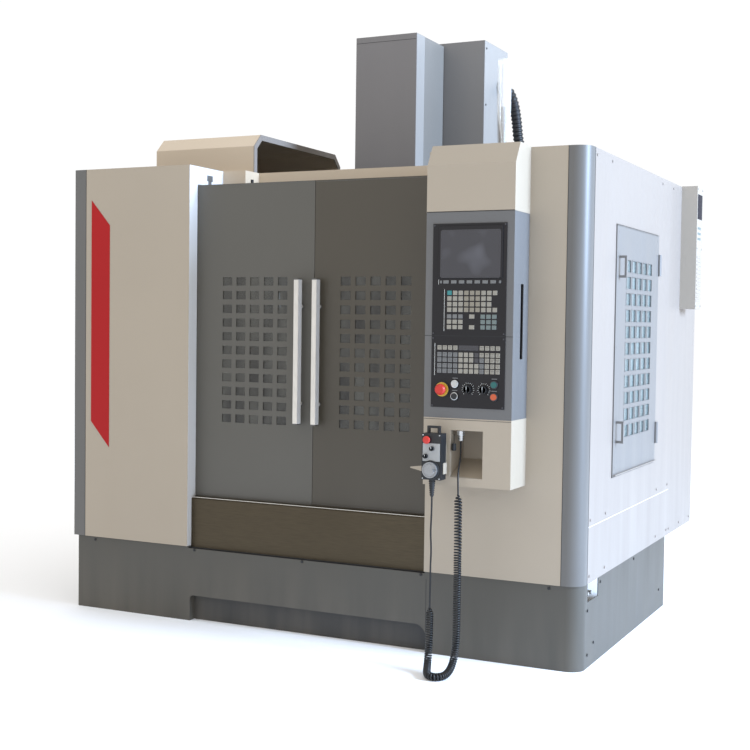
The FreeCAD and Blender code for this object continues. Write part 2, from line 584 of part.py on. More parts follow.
def tool_changer():
    """Umbrella tool changer: arm from the column, sliding carriage, turning drum with notches."""
    beam = block(("arm_left", "arm_right"), ("-arm_half", "arm_half"), ("arm_low", "arm_low + arm_tall"))
    root = block(("-column_half - 60", "-column_half"), ("arm_half - 5", "column_front + 70"),
                 ("arm_low", "arm_low + arm_tall"))
    part("magazine_arm", fuse(beam, root))
    top = "drum_z + drum_thick"
    hub = cut(rod("z", "hub_radius", ("drum_x", "0", f"{top} + 1"), f"arm_low - 40 - ({top} + 1)"),
              rod("z", "pin_radius + run_gap", ("drum_x", "0", f"{top} - 5"), "215"))
    flange = block(("drum_x - 100", "drum_x + 100"), ("-arm_half - 14", "arm_half + 14"),
                   ("arm_low - 40", "arm_low - slip"))
    hook = block(("drum_x - 100", "drum_x + 100"), ("-arm_half - 14", "-arm_half - slip"),
                 ("arm_low - 40", "arm_low + 30"))
    part("magazine_carriage", fuse(hub, flange, hook))
    disc = rod("z", "drum_radius", ("drum_x", "0", "drum_z"), "drum_thick")
    pin = rod("z", "pin_radius", ("drum_x", "0", f"{top} - 1"), "180")
    notches = []
    holders = []
    count = int(size("pocket_count"))
    for i in range(count):
        turn = f"{i}*360/pocket_count"
        x, y = f"drum_x + pocket_pitch*cos({turn})", f"pocket_pitch*sin({turn})"
        notches.append(rod("z", "pocket_radius", (x, y, "drum_z - 5"), "drum_thick + 10"))
        grip = rod("z", "pocket_radius", (x, y, "drum_z + 5"), "drum_thick - 12")
        tail = taper("z", "pocket_radius - 8", "10", (x, y, "drum_z - 75"), "80")
        holders.append(fuse(grip, tail))
    rim = cut(disc, *notches)
    part("carousel", fuse(rim, pin))
    part("tool_holders", group(*holders))


# ---- console and its boxes --------------------------------------------------------------------

def console_boxes():
    """Fixed boxes above and below the swivelling console, each with the bore of its pin."""
    left, right, deep = "con_left", "con_right", "con_deep"
    near = back(f"-{deep}")
    high = "encl_top + box_top"
    corners = [(near, "head_z"), (FRONT, "head_z"), (FRONT, high), (back(f"-{deep} + 45"), high),
               (near, f"{high} - box_slope")]
    pin_at = ("pivot_x", back("-pivot_gap"))
    upper = plate("YZ_Plane", corners, f"{right} - {left}", (left, "0", "0"))
    part("console_header_box", cut(upper, rod("z", "pivot_radius + run_gap", (*pin_at, "head_z - 5"), "25")))
    lower = block((left, right), (near, FRONT), ("shelf_low", "shelf_top"))
    recess = block(("recess_left", "recess_right"), (back(f"-{deep} - 5"), back("-30")),
                   ("recess_low", "recess_top"))
    part("console_shelf_box", cut(lower, recess, rod("z", "pivot_radius + run_gap",
                                                     (*pin_at, "shelf_top - 14"), "20")))


BUTTONS = {"start_button": (853, 1031), "hold_button": (853, 988), "power_on_button": (704, 1030),
           "power_off_button": (703, 986)}
KNOBS = {"feed_knob": (754, 1012), "speed_knob": (814, 1012)}
STOP = (654, 1009)


def console():
    """Swivelling console: hollow housing on two pins, control panel, buttons and knobs."""
    near = back("-con_deep")
    face = back("-con_deep - panel_thick")
    outer = block(("con_left", "con_right"), (near, back("-con_clear")), ("con_low", "con_top"))
    room = block(("con_left + sheet", "con_right - sheet"), (back("-con_deep + sheet"),
                 back("-con_clear - sheet")), ("con_low + sheet", "con_top - sheet"))
    slit = block(("con_right - 10", "con_right + 5"), (back("-84"), back("-55")),
                 ("slit_low", "slit_high"))
    pins = [rod("z", "pivot_radius", ("pivot_x", back("-pivot_gap"), z), "14")
            for z in ("con_low - 12", "con_top - 2")]
    holes = []
    bezels = []
    for x, z in BUTTONS.values():
        holes.append(rod("y", "button_radius + run_gap", (x, back("-con_deep - 30"), z), "60"))
        bezels.append(rod("y", "bezel_radius", (x, back("-con_deep - panel_thick - bezel_thick"), z),
                          "bezel_thick + 1"))
    for x, z in KNOBS.values():
        holes.append(rod("y", "axle_radius + run_gap", (x, back("-con_deep - 30"), z), "60"))
    x, z = STOP
    holes.append(rod("y", "stem_radius + run_gap", (x, back("-con_deep - 30"), z), "60"))
    bezels.append(rod("y", "30", (x, back("-con_deep - panel_thick - 3"), z), "4"))
    part("console_housing", fuse(cut(outer, room, slit, *holes), *pins))
    board = block(("panel_left", "panel_right"), (face, near), ("panel_low", "panel_top"))
    part("operator_panel", cut(fuse(board, *bezels), *holes))
    dome = taper("y", "stop_radius - 5", "stop_radius", (x, back("-con_deep - panel_thick - 26"), z), "6")
    disc = rod("y", "stop_radius", (x, back("-con_deep - panel_thick - 20"), z), "6")
    stem = rod("y", "stem_radius", (x, back("-con_deep - panel_thick - 15"), z), "28")
    part("console_stop_button", fuse(dome, disc, stem))
    for name, (x, z) in BUTTONS.items():
        part(name, rod("y", "button_radius", (x, back("-con_deep - panel_thick - bezel_thick - 4"), z),
                       "button_long"))
    for name, (x, z) in KNOBS.items():
        grip = rod("y", "knob_radius", (x, back("-con_deep - panel_thick - 0.3 - knob_long"), z), "knob_long")
        axle = rod("y", "axle_radius", (x, back("-con_deep - panel_thick - 2"), z), "12")
        part(name, fuse(grip, axle))


# ---- hand wheel pendant and its cord ----------------------------------------------------------

def pendant():
    """Hand wheel box in a holder on the shelf box, with its dial, two selectors and a stop button."""
    def held(distance):
        return back(f"-con_deep - pend_gap - {distance}")

    left, right = "pend_x - pend_wide/2", "pend_x + pend_wide/2"
    top = "pend_low + pend_tall"
    case = block((left, right), (held("pend_deep"), held("0")), ("pend_low", top))
    loop = cut(block(("pend_x - 24", "pend_x + 24"), (held("30"), held("16")), (top, f"{top} + 26")),
               block(("pend_x - 16", "pend_x + 16"), (held("40"), held("0")), (top, f"{top} + 18")))
    gland = taper("z", "5", "11", ("pend_x - 4", held("26"), "pend_low - pend_strain"), "pend_strain")
    spots = {"pendant_dial": ("pend_x - 1", "dial_z"), "pendant_axis_knob": ("pend_x + 4", "802"),
             "pendant_step_knob": ("pend_x - 20", "774"), "pendant_stop_button": ("pend_x - 16", "832")}
    bores = [rod("y", "axle_radius + run_gap", (x, held("pend_deep - 5"), z), "25")
             for x, z in spots.values()]
    part("pendant_case", cut(fuse(case, loop, gland), *bores))
    for name, (x, z) in spots.items():
        radius, thick, lift = {"pendant_dial": ("dial_radius", "dial_thick", "0.3"),
                               "pendant_stop_button": ("10", "8", "6")}.get(name, ("8", "12", "0.3"))
        pieces = [rod("y", radius, (x, held(f"pend_deep - {lift} - {thick}"), z), thick),
                  rod("y", "axle_radius", (x, held(f"pend_deep - {lift} - 1"), z), "16")]
        if name == "pendant_dial":
            pieces.append(rod("y", "5", (f"{x} + 16", held(f"pend_deep - {lift} - {thick} - 14"), z), "15"))
        part(name, fuse(*pieces))
    cradle = [block((left, right), (held("0"), held("-3")), ("pend_low + 20", "pend_low + 130")),
              block(("pend_x - 20", "pend_x + 20"), (held("-3"), back("-con_deep")),
                    ("pend_low + 50", "pend_low + 100"))]
    cradle += [block((x, f"{x} + 3"), (held("30"), held("-3")), ("pend_low + 20", "pend_low + 60"))
               for x in (f"{left} - 3", right)]
    hook = block(("con_left - 70", "con_left"), (back("-115"), back("-112")), ("pend_low + 5", "pend_low + 35"))
    part("pendant_holder", group(fuse(*cradle), hook))


def cord_tube(points, radius):
    """A free cord: straight runs joined by tangent arcs, as large as the two runs allow."""
    edges = []
    start = points[0]
    for i in range(1, len(points) - 1):
        before, here, after = points[i - 1], points[i], points[i + 1]
        one, two = before - here, after - here
        turn = math.pi - one.getAngle(two)
        reach = 0.45 * min(one.Length, two.Length)
        enter = here + one.normalize() * reach
        leave = here + two.normalize() * reach
        bend = reach / math.tan(turn / 2)
        print("radius", round(bend, 1), "of diameter", 2 * radius)
        middle = (enter + leave) * 0.5 - here
        centre = here + middle.normalize() * math.hypot(reach, bend)
        top = centre - middle.normalize() * bend
        edges.append(Part.LineSegment(start, enter).toShape())
        edges.append(Part.Arc(enter, top, leave).toShape())
        start = leave
    edges.append(Part.LineSegment(start, points[-1]).toShape())
    path = Part.Wire(edges)
    ring = Part.Wire(Part.Circle(points[0], points[1] - points[0], radius).toShape())
    tube = path.makePipeShell([ring], True, False)
    expected = math.pi * radius ** 2 * path.Length
    print("cord volume ratio", round(tube.Volume / expected, 4), "length", round(path.Length, 1))
    return tube


def free_cord():
    """The cord's thin leads and its curly length, which is one fat tube down, over and up."""
    x, y = size("pend_x"), size("front_y") - size("con_deep") - size("pend_gap") - 26
    centre = size("curl_radius")
    floor = centre + 0.5
    down = [Vector(x - 4, y, 628), Vector(x - 4, y, 560), Vector(x - 6, y - 3, 500), Vector(x - 3, y, 440),
            Vector(x - 6, y + 1, 380), Vector(x - 4, y - 2, 320), Vector(x - 6, y, 270), Vector(x - 6, y, 230)]
    curl = [Vector(x - 6, y, 230), Vector(x - 6, y, 180), Vector(x - 5, y - 2, 130), Vector(x - 4, y - 8, 80),
            Vector(x + 2, y - 30, 34), Vector(x + 16, y - 70, floor), Vector(x + 38, y - 108, floor),
            Vector(x + 72, y - 112, floor), Vector(x + 92, y - 78, floor), Vector(x + 97, y - 34, 36),
            Vector(x + 96, y - 2, 80), Vector(x + 95, y + 8, 130), Vector(x + 94, y + 12, 180),
            Vector(x + 93, y + 14, 230), Vector(x + 92, y + 15, 290), Vector(x + 93, y + 16, 350),
            Vector(x + 91, y + 17, 410), Vector(x + 92, y + 17, 470), Vector(x + 90, y + 19, 530),
            Vector(x + 90, y + 20, 590), Vector(x + 88, y + 21, 640)]
    up = [Vector(x + 88, y + 21, 640), Vector(x + 87, y + 22, 668), Vector(x + 84, y + 26, 700),
          Vector(x + 80, y + 40, 726), Vector(x + 76, y + 60, 744), Vector(x + 73.6, y + 74, 770),
          Vector(x + 72, y + 79, 800), Vector(x + 72, y + 79, 826)]
    thin = size("cord_radius")
    for name, tubes in (("pendant_leads", [cord_tube(down, thin), cord_tube(up, thin)]),
                        ("pendant_curl", [cord_tube(curl, centre)])):
        cord = doc.addObject("Part::Feature", name)
        cord.Shape = Part.Compound(tubes)
        part(name, cord)
    end = ("pend_x + 72", back("-con_deep - pend_gap - 26 + 79"))
    part("cord_connector", fuse(rod("z", "11", (*end, "recess_top - 38"), "18"),
                                rod("z", "13", (*end, "recess_top - 20"), "18"),
                                rod("z", "9", (*end, "recess_top - 2"), "2")))


# ---- lamp, cabinet, cooler, conduit -----------------------------------------------------------

def signal_lamp():
    """Signal lamp: foot, taper, coloured stack and clear sleeve drawn as one closed tower."""
    at = ("lamp_x", back("lamp_gap"))
    foot = rod("z", "lamp_radius + 8", (*at, "encl_top"), "8")
    base = rod("z", "lamp_radius - 6", (*at, "encl_top + 7"), "60")
    cone = taper("z", "lamp_radius - 6", "lamp_radius", (*at, "encl_top + 66"), "65")
    tower = rod("z", "lamp_radius", (*at, "encl_top + 130"), "lamp_top - 130")
    return part("signal_lamp", fuse(foot, base, cone, tower))


def cabinet():
    """Electrical cabinet at the right rear, its door and the rotary main switch in the door."""
    right = "encl_half - sheet - 2"
    outer = block(("cab_left", right), ("cab_front", "encl_back - sheet - slip"),
                  ("cab_low", "cab_top"))
    room = block(("cab_left + sheet", f"{right} - sheet"), ("cab_front + sheet", "encl_back + 5"),
                 ("cab_low + sheet", "cab_top - sheet"))
    vent = block((f"{right} - 10", f"{right} + 5"), ("cooler_front + 14", "cooler_front + cooler_wide - 14"),
                 ("cooler_low + 30", "cab_top - 60"))
    gland = rod("z", "20", ("cab_left + 100", "encl_back - 100", "cab_low - 5"), "20")
    part("electrical_cabinet", cut(outer, room, vent, gland))
    hinge = ("cab_left + 4", "encl_back + 12")
    door = block(("cab_left + 8", "encl_half - lip - 2"), ("encl_back - sheet", "encl_back"),
                 ("cab_low + 1", "cab_top - 1"))
    pins = [rod("z", "7", (*hinge, z), "80") for z in ("cab_low + 120", "cab_top - 200")]
    arms = [block(("cab_left + 4", "cab_left + 30"), ("encl_back - 1", "encl_back + 12"), (z, f"{z} + 80"))
            for z in ("cab_low + 120", "cab_top - 200")]
    at = (f"{right} - 120", "1500")
    hole = rod("y", "8 + run_gap", (at[0], "encl_back - 20", at[1]), "60")
    part("cabinet_door", cut(fuse(door, *pins, *arms), hole))
    part("main_switch", fuse(rod("y", "8", (at[0], "encl_back - 12", at[1]), "30"),
                             rod("y", "32", (at[0], "encl_back + 3 + slip", at[1]), "12"),
                             block((f"{at[0]} - 8", f"{at[0]} + 8"), ("encl_back + 14", "encl_back + 36"),
                                   (f"{at[1]} - 30", f"{at[1]} + 30"))))
    part("cabinet_cooler", block(("encl_half", "encl_half + cooler_deep"), ("cooler_front",
         "cooler_front + cooler_wide"), ("cooler_low", "encl_top + cooler_top")))


def head_conduit():
    """Segmented conduit: out of the column cover's side, round and down onto the cabinet."""
    y = size("crown_back") - 110
    x = size("crown_right")
    points = [Vector(x, y, 2330), Vector(x + 60, y, 2330), Vector(x + 110, y, 2270), Vector(x + 135, y, 2180),
              Vector(x + 140, y + 10, 2080), Vector(x + 150, y + 60, 1990), Vector(x + 190, y + 180, 1930),
              Vector(x + 290, y + 240, 1930), Vector(x + 330, y + 262, 1900),
              Vector(x + 330, y + 262, size("cab_top"))]
    conduit = doc.addObject("Part::Feature", "head_conduit")
    conduit.Shape = cord_tube(points, 24)
    part("head_conduit", conduit)


for make in (base_skirt, bed_casting, column_casting, column_top_cover, splash_tray):
    make()
front_panel("left_front_panel", "-encl_half + left_strip", "left_jamb", "left_jamb",
            ("left_jamb - sheet", "left_jamb"))
front_panel("right_front_panel", "right_jamb", "encl_half - right_strip", "right_jamb",
            ("right_jamb", "right_jamb + sheet"))
corner_strips()
side_wall("left_side_panel", -1, "40")
side_wall("right_side_panel", 1, "77", (side_opening(), cooler_opening()))
for make in (rear_panel, front_apron, front_header, door_rails, toolchanger_hood):
    make()
sliding_door(-1)
sliding_door(1)
for make in (side_door, table_and_saddle, head, tool_changer, console_boxes, console, pendant, free_cord,
             signal_lamp, cabinet, head_conduit):
    make()

doc.recompute()
broken = [thing.Name for thing in doc.Objects if {"Invalid", "Error"} & set(thing.State)]
if broken:
    raise SystemExit(f"objects failed: {broken}")
os.makedirs("parts", exist_ok=True)
for thing in PARTS:
    shape = thing.Shape
    if shape.isNull() or not shape.isValid():
        raise SystemExit(f"{thing.Label} has no valid shape")
    shape.exportStep(f"parts/{thing.Label}.step")
    print(thing.Label, len(shape.Solids), [round(v) for v in (shape.BoundBox.XMin, shape.BoundBox.XMax,
          shape.BoundBox.YMin, shape.BoundBox.YMax, shape.BoundBox.ZMin, shape.BoundBox.ZMax)])
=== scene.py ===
import bpy
import bmesh
import math
from mathutils import Matrix, Vector


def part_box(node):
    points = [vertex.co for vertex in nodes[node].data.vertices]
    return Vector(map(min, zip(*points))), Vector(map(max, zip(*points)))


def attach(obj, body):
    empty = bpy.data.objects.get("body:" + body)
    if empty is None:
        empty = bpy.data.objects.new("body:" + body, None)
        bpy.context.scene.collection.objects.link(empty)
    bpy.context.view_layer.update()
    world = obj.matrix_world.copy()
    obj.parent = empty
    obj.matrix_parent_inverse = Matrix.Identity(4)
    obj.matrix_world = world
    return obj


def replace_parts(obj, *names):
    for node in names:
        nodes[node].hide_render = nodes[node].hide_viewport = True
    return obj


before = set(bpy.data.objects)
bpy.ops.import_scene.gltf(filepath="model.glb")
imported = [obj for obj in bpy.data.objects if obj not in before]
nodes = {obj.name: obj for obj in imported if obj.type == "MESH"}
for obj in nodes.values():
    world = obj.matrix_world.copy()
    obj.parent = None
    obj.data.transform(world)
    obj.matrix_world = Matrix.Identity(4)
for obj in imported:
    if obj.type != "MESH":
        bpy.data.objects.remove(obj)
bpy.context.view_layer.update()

# ---- camera and studio -------------------------------------------------------------------------
# A long lens at chest height, right of the machine. The floor is pale and the light soft and white,
# strongest from the right, so that walls that face right are nearly white.

yaw, pitch, roll = math.radians(25.973), math.radians(-2.351), math.radians(0.765)
forward = Vector((-math.sin(yaw) * math.cos(pitch), math.cos(yaw) * math.cos(pitch), math.sin(pitch)))
level = Vector((math.cos(yaw), math.sin(yaw), 0))
upright = level.cross(forward)
right = math.cos(roll) * level + math.sin(roll) * upright
up = -math.sin(roll) * level + math.cos(roll) * upright
lens = bpy.data.cameras.new("camera")
lens.lens, lens.sensor_width = 60.76, 36
lens.clip_end = 60
camera = bpy.data.objects.new("camera", lens)
camera.matrix_world = (Matrix((right, up, -forward)).transposed()).to_4x4()
camera.location = (2.422, -5.140, 1.243)
bpy.context.scene.collection.objects.link(camera)
bpy.context.scene.camera = camera

world = bpy.data.worlds.new("studio")
world.use_nodes = True
world.node_tree.nodes["Background"].inputs["Color"].default_value = (1, 1, 1, 1)
world.node_tree.nodes["Background"].inputs["Strength"].default_value = 1.02
bpy.context.scene.world = world
bpy.context.scene.view_settings.view_transform = "Standard"


def soft_light(name, place, aim, size, watts, colour):
    """A square panel of light that faces a point."""
    lamp = bpy.data.lights.new(name, "AREA")
    lamp.shape, lamp.size, lamp.energy, lamp.color = "SQUARE", size, watts, colour
    holder = bpy.data.objects.new(name, lamp)
    holder.location = place
    holder.rotation_euler = (Vector(aim) - Vector(place)).to_track_quat("-Z", "Y").to_euler()
    bpy.context.scene.collection.objects.link(holder)


soft_light("right_light", (7.2, -0.6, 3.3), (1.1, 0, 1.7), 2.5, 1380, (0.53, 0.71, 1.0))
soft_light("front_light", (-1.5, -7.5, 4.5), (0, 0, 1.1), 4.0, 30, (1.0, 0.93, 0.84))
soft_light("top_light", (-0.5, -1.0, 7.0), (0, 0, 1.0), 4.0, 25, (1.0, 0.98, 0.95))

# ---- floor -------------------------------------------------------------------------------------
# The machine stands on a plain pale floor, its paint even in colour and finely pebbled. Most coats here
# are also a little mottled; dust gathers low down on them, and handling leaves faint vertical rubs.


def noise(tree, vector, scale, detail=3.0, stretch=(1, 1, 1)):
    """Cloudy values along a vector, which can be stretched into streaks."""
    mapping = tree.nodes.new("ShaderNodeMapping")
    mapping.inputs["Scale"].default_value = stretch
    tree.links.new(vector, mapping.inputs["Vector"])
    texture = tree.nodes.new("ShaderNodeTexNoise")
    texture.inputs["Scale"].default_value = scale
    texture.inputs["Detail"].default_value = detail
    tree.links.new(mapping.outputs["Vector"], texture.inputs["Vector"])
    return texture.outputs["Fac"]


def blend_colour(tree, factor, one, two, mode="MIX"):
    """A mix of two colours, each a socket or a plain value."""
    mix = tree.nodes.new("ShaderNodeMix")
    mix.data_type, mix.blend_type = "RGBA", mode
    for socket, value in ((mix.inputs[0], factor), (mix.inputs[6], one), (mix.inputs[7], two)):
        if isinstance(value, (int, float, tuple)):
            socket.default_value = value
        else:
            tree.links.new(value, socket)
    return mix.outputs[2]


def ramp(tree, value, low, high, out_low=0.0, out_high=1.0):
    """A value stretched from one range to another, and held at its ends."""
    node = tree.nodes.new("ShaderNodeMapRange")
    for label, number in (("From Min", low), ("From Max", high), ("To Min", out_low), ("To Max", out_high)):
        node.inputs[label].default_value = number
    tree.links.new(value, node.inputs["Value"])
    return node.outputs["Result"]


def reckon(tree, operation, one, two):
    """A sum or a product of two sockets, or of a socket and a number."""
    node = tree.nodes.new("ShaderNodeMath")
    node.operation = operation
    for socket, value in zip(node.inputs, (one, two)):
        if isinstance(value, (int, float)):
            socket.default_value = value
        else:
            tree.links.new(value, socket)
    return node.outputs[0]


def coat_group():
    """Colour, roughness and height of a coated or moulded surface."""
    tree = bpy.data.node_groups.new("coated_surface", "ShaderNodeTree")
    for label, value in (("Colour", (0.5, 0.5, 0.5, 1)), ("Roughness", 0.45), ("Mottle", 0.06), ("Dust", 0.2)):
        kind = "NodeSocketColor" if label == "Colour" else "NodeSocketFloat"
        tree.interface.new_socket(name=label, in_out="INPUT", socket_type=kind).default_value = value
    for label in ("Colour", "Roughness", "Height"):
        kind = "NodeSocketColor" if label == "Colour" else "NodeSocketFloat"
        tree.interface.new_socket(name=label, in_out="OUTPUT", socket_type=kind)
    given, out = tree.nodes.new("NodeGroupInput"), tree.nodes.new("NodeGroupOutput")
    where = tree.nodes.new("ShaderNodeTexCoord").outputs["Object"]
    broad = noise(tree, where, 1.7, 2.0)
    rubs = noise(tree, where, 9.0, 4.0, (1, 1, 0.12))
    peel = noise(tree, where, 420.0, 2.0)
    dark = blend_colour(tree, 1.0, given.outputs["Colour"], (0.86, 0.86, 0.86, 1), "MULTIPLY")
    patches = reckon(tree, "MULTIPLY", ramp(tree, broad, 0.35, 0.65),
                     reckon(tree, "MULTIPLY", given.outputs["Mottle"], 6.0))
    mottled = blend_colour(tree, patches, given.outputs["Colour"], dark)
    height = tree.nodes.new("ShaderNodeSeparateXYZ")
    tree.links.new(where, height.inputs[0])
    low_down = ramp(tree, height.outputs["Z"], 0.0, 0.35, 1.0, 0.0)
    dusty = reckon(tree, "MULTIPLY", reckon(tree, "MULTIPLY", low_down, ramp(tree, rubs, 0.3, 0.7)),
                   given.outputs["Dust"])
    tree.links.new(blend_colour(tree, dusty, mottled, (0.20, 0.18, 0.15, 1)), out.inputs["Colour"])
    tree.links.new(reckon(tree, "ADD", given.outputs["Roughness"], ramp(tree, rubs, 0.3, 0.7, -0.07, 0.09)),
                   out.inputs["Roughness"])
    tree.links.new(peel, out.inputs["Height"])
    return tree


COAT = coat_group()


def linear(colour):
    """A paint-card value, 0 to 255 a channel, as the shader's linear colour."""
    return tuple((c / 255 / 12.92) if c < 10.5 else ((c / 255 + 0.055) / 1.055) ** 2.4 for c in colour) + (1,)


def finish(name, colour, roughness=0.45, mottle=0.06, dust=0.2, bump=0.05, coat=0.0, gloss=0.5):
    """A coated, moulded or cast material with its own colour and grain."""
    material = bpy.data.materials.new(name)
    material.use_nodes = True
    tree = material.node_tree
    shader = tree.nodes["Principled BSDF"]
    shader.inputs["Specular IOR Level"].default_value = gloss
    shader.inputs["Coat Weight"].default_value = coat
    group = tree.nodes.new("ShaderNodeGroup")
    group.node_tree = COAT
    for label, value in (("Colour", linear(colour)), ("Roughness", roughness), ("Mottle", mottle),
                         ("Dust", dust)):
        group.inputs[label].default_value = value
    tree.links.new(group.outputs["Colour"], shader.inputs["Base Color"])
    tree.links.new(group.outputs["Roughness"], shader.inputs["Roughness"])
    relief = tree.nodes.new("ShaderNodeBump")
    relief.inputs["Strength"].default_value = bump
    relief.inputs["Distance"].default_value = 0.001
    tree.links.new(group.outputs["Height"], relief.inputs["Height"])
    tree.links.new(relief.outputs["Normal"], shader.inputs["Normal"])
    return material


work = bmesh.new()
bmesh.ops.create_grid(work, x_segments=1, y_segments=1, size=30)
floor_mesh = bpy.data.meshes.new("floor")
work.to_mesh(floor_mesh)
work.free()
floor_paint = finish("floor_paint", (255, 255, 255), 0.85, mottle=0, dust=0, bump=0.02, gloss=0.1)
floor_mesh.materials.append(floor_paint)
floor = bpy.data.objects.new("floor", floor_mesh)
bpy.context.scene.collection.objects.link(floor)

# ---- base skirt --------------------------------------------------------------------------------
# The skirt round the base is folded plate, rolled round the right front corner, in textured enamel.
# Button-head screws hold it along the top, and small gussets stiffen the corners of its toe recess.

def clad(material, *names):
    """Give carried-over nodes their finish."""
    for name in names:
        mesh = nodes[name].data
        mesh.materials.clear()
        mesh.materials.append(material)
        for face in mesh.polygons:
            face.material_index = 0


def piece(name, mesh_in_work, body, material, smooth=False):
    """Turn finished mesh work into a piece that rides on a body."""
    bmesh.ops.recalc_face_normals(mesh_in_work, faces=mesh_in_work.faces)
    mesh = bpy.data.meshes.new(name)
    mesh_in_work.to_mesh(mesh)
    mesh_in_work.free()
    thing = bpy.data.objects.new(name, mesh)
    bpy.context.scene.collection.objects.link(thing)
    mesh.materials.append(material)
    if smooth:
        mesh.shade_smooth()
        mesh.set_sharp_from_angle(angle=math.radians(35))
    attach(thing, body)
    return thing


def block(work, one, two, edge=0.0, segments=2):
    """A box between two opposite corners, in metres, with its edges rounded."""
    low = Vector([min(pair) for pair in zip(one, two)])
    high = Vector([max(pair) for pair in zip(one, two)])
    made = bmesh.ops.create_cube(work, size=1.0, matrix=Matrix.Translation((low + high) / 2)
                                 @ Matrix.Diagonal((*(high - low), 1)))
    if edge:
        edges = list({e for v in made["verts"] for e in v.link_edges})
        bmesh.ops.bevel(work, geom=edges, offset=edge, segments=segments, affect="EDGES", profile=0.5,
                        material=-1)


AXES = {"x": Matrix.Rotation(math.radians(90), 4, "Y"), "y": Matrix.Rotation(math.radians(-90), 4, "X"),
        "z": Matrix.Identity(4)}


def rod(work, axis, start, length, radius, end_radius=None, edge=0.0, segments=28):
    """A round bar along +X, +Y or +Z from a start point, with rounded rims."""
    turn = AXES[axis]
    shift = Matrix.Translation(Vector(start) + turn.to_3x3() @ Vector((0, 0, length / 2)))
    made = bmesh.ops.create_cone(work, cap_ends=True, segments=segments, radius1=radius,
                                 radius2=radius if end_radius is None else end_radius, depth=length,
                                 matrix=shift @ turn)
    if edge:
        rims = [e for e in {e for v in made["verts"] for e in v.link_edges}
                if any(len(f.verts) > 4 for f in e.link_faces)]
        bmesh.ops.bevel(work, geom=rims, offset=edge, segments=2, affect="EDGES", profile=0.5, material=-1)


def boxes(name, body, material, spans, edge=0.0005):
    """Many rounded boxes in one piece, each given by its two corners."""
    work = bmesh.new()
    for low, high in spans:
        block(work, low, high, edge)
    return piece(name, work, body, material)


def screws(name, body, spots, axis, radius=0.006, material=None):
    """Button-head screws with a six-sided socket, on a face that looks along an axis."""
    work = bmesh.new()
    letter, turn = axis[-1], AXES[axis[-1]]
    out = turn.to_3x3() @ Vector((0, 0, -0.003 if axis[0] == "-" else 0.003))
    for spot in map(Vector, spots):
        rod(work, letter, spot + out if axis[0] == "-" else spot, 0.003, radius, edge=0.0011, segments=14)
        bmesh.ops.create_cone(work, cap_ends=True, segments=6, radius1=radius * 0.45, radius2=radius * 0.45,
                              depth=0.0010, matrix=Matrix.Translation(spot + out * 0.9) @ turn)
    return piece(name, work, body, material or black)


def thicken(work, step):
    """Give the faces drawn so far a thickness, by a step to their far side."""
    grown = bmesh.ops.extrude_face_region(work, geom=list(work.faces))
    bmesh.ops.translate(work, verts=[v for v in grown["geom"] if isinstance(v, bmesh.types.BMVert)], vec=step)


base_grey = finish("base_grey_enamel", (70, 67, 60), 0.50, dust=0.3, bump=0.12)
black = finish("black_moulded_plastic", (20, 20, 21), 0.50, bump=0.15, dust=0.05)
clad(base_grey, "base_skirt")
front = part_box("left_front_panel")[0].y
skirt_low, skirt_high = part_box("base_skirt")
skirt_face, skirt_round = skirt_low.y, 0.056
screws("skirt_screws", "frame",
       [(x, skirt_face, skirt_high.z - 0.014) for x in (-1.025, -0.516, -0.007, 0.507, 1.012)],
       "-y", 0.0058)
screws("skirt_side_screws", "frame",
       [(skirt_high.x, front + y, z) for y, z in ((0.249, 0.290), (0.087, 0.212), (0.171, 0.079),
                                                  (0.093, 0.049), (1.182, 0.088), (0.737, 0.297))],
       "x", 0.0055)
recess_left, recess_right, recess_top = -0.5375, 0.5285, 0.1055
boxes("skirt_seams", "frame", black,
      [((recess_right, skirt_face - 0.0006, 0.004),
        (recess_right + 0.0016, skirt_face + 0.001, skirt_high.z - 0.03)),
       ((skirt_low.x + 0.01, skirt_face - 0.0006, skirt_high.z - 0.0020),
        (skirt_high.x - skirt_round, skirt_face + 0.001, skirt_high.z - 0.0010))], 0)
work = bmesh.new()
for x, side, radius in ((recess_left - 0.001, 1, 0.018), (recess_right + 0.001, -1, 0.048)):
    corner = work.verts.new((x, skirt_face + 0.001, recess_top + 0.0007))
    middle = corner.co + Vector((side * radius, 0, -radius))
    start = work.verts.new(middle - Vector((side * radius, 0, 0)))
    swept = bmesh.ops.spin(work, geom=[start], cent=middle, axis=(0, side, 0), angle=math.radians(90),
                           steps=10)
    for end in (start, swept["geom_last"][0]):
        work.edges.new((corner, end))
bmesh.ops.edgeloop_fill(work, edges=list(work.edges))
thicken(work, (0, 0.004, 0))
piece("recess_gussets", work, "frame", base_grey)
# A near-black plate lines the toe recess: painted shade for the dark recess under the skirt's lip.
boxes("toe_recess_painted_shade", "frame", finish("toe_recess_shade_paint", (38, 38, 38), 0.5, dust=0.3),
      [((recess_left, skirt_face + 0.0354, 0.001), (recess_right, skirt_face + 0.0364, recess_top))], 0)
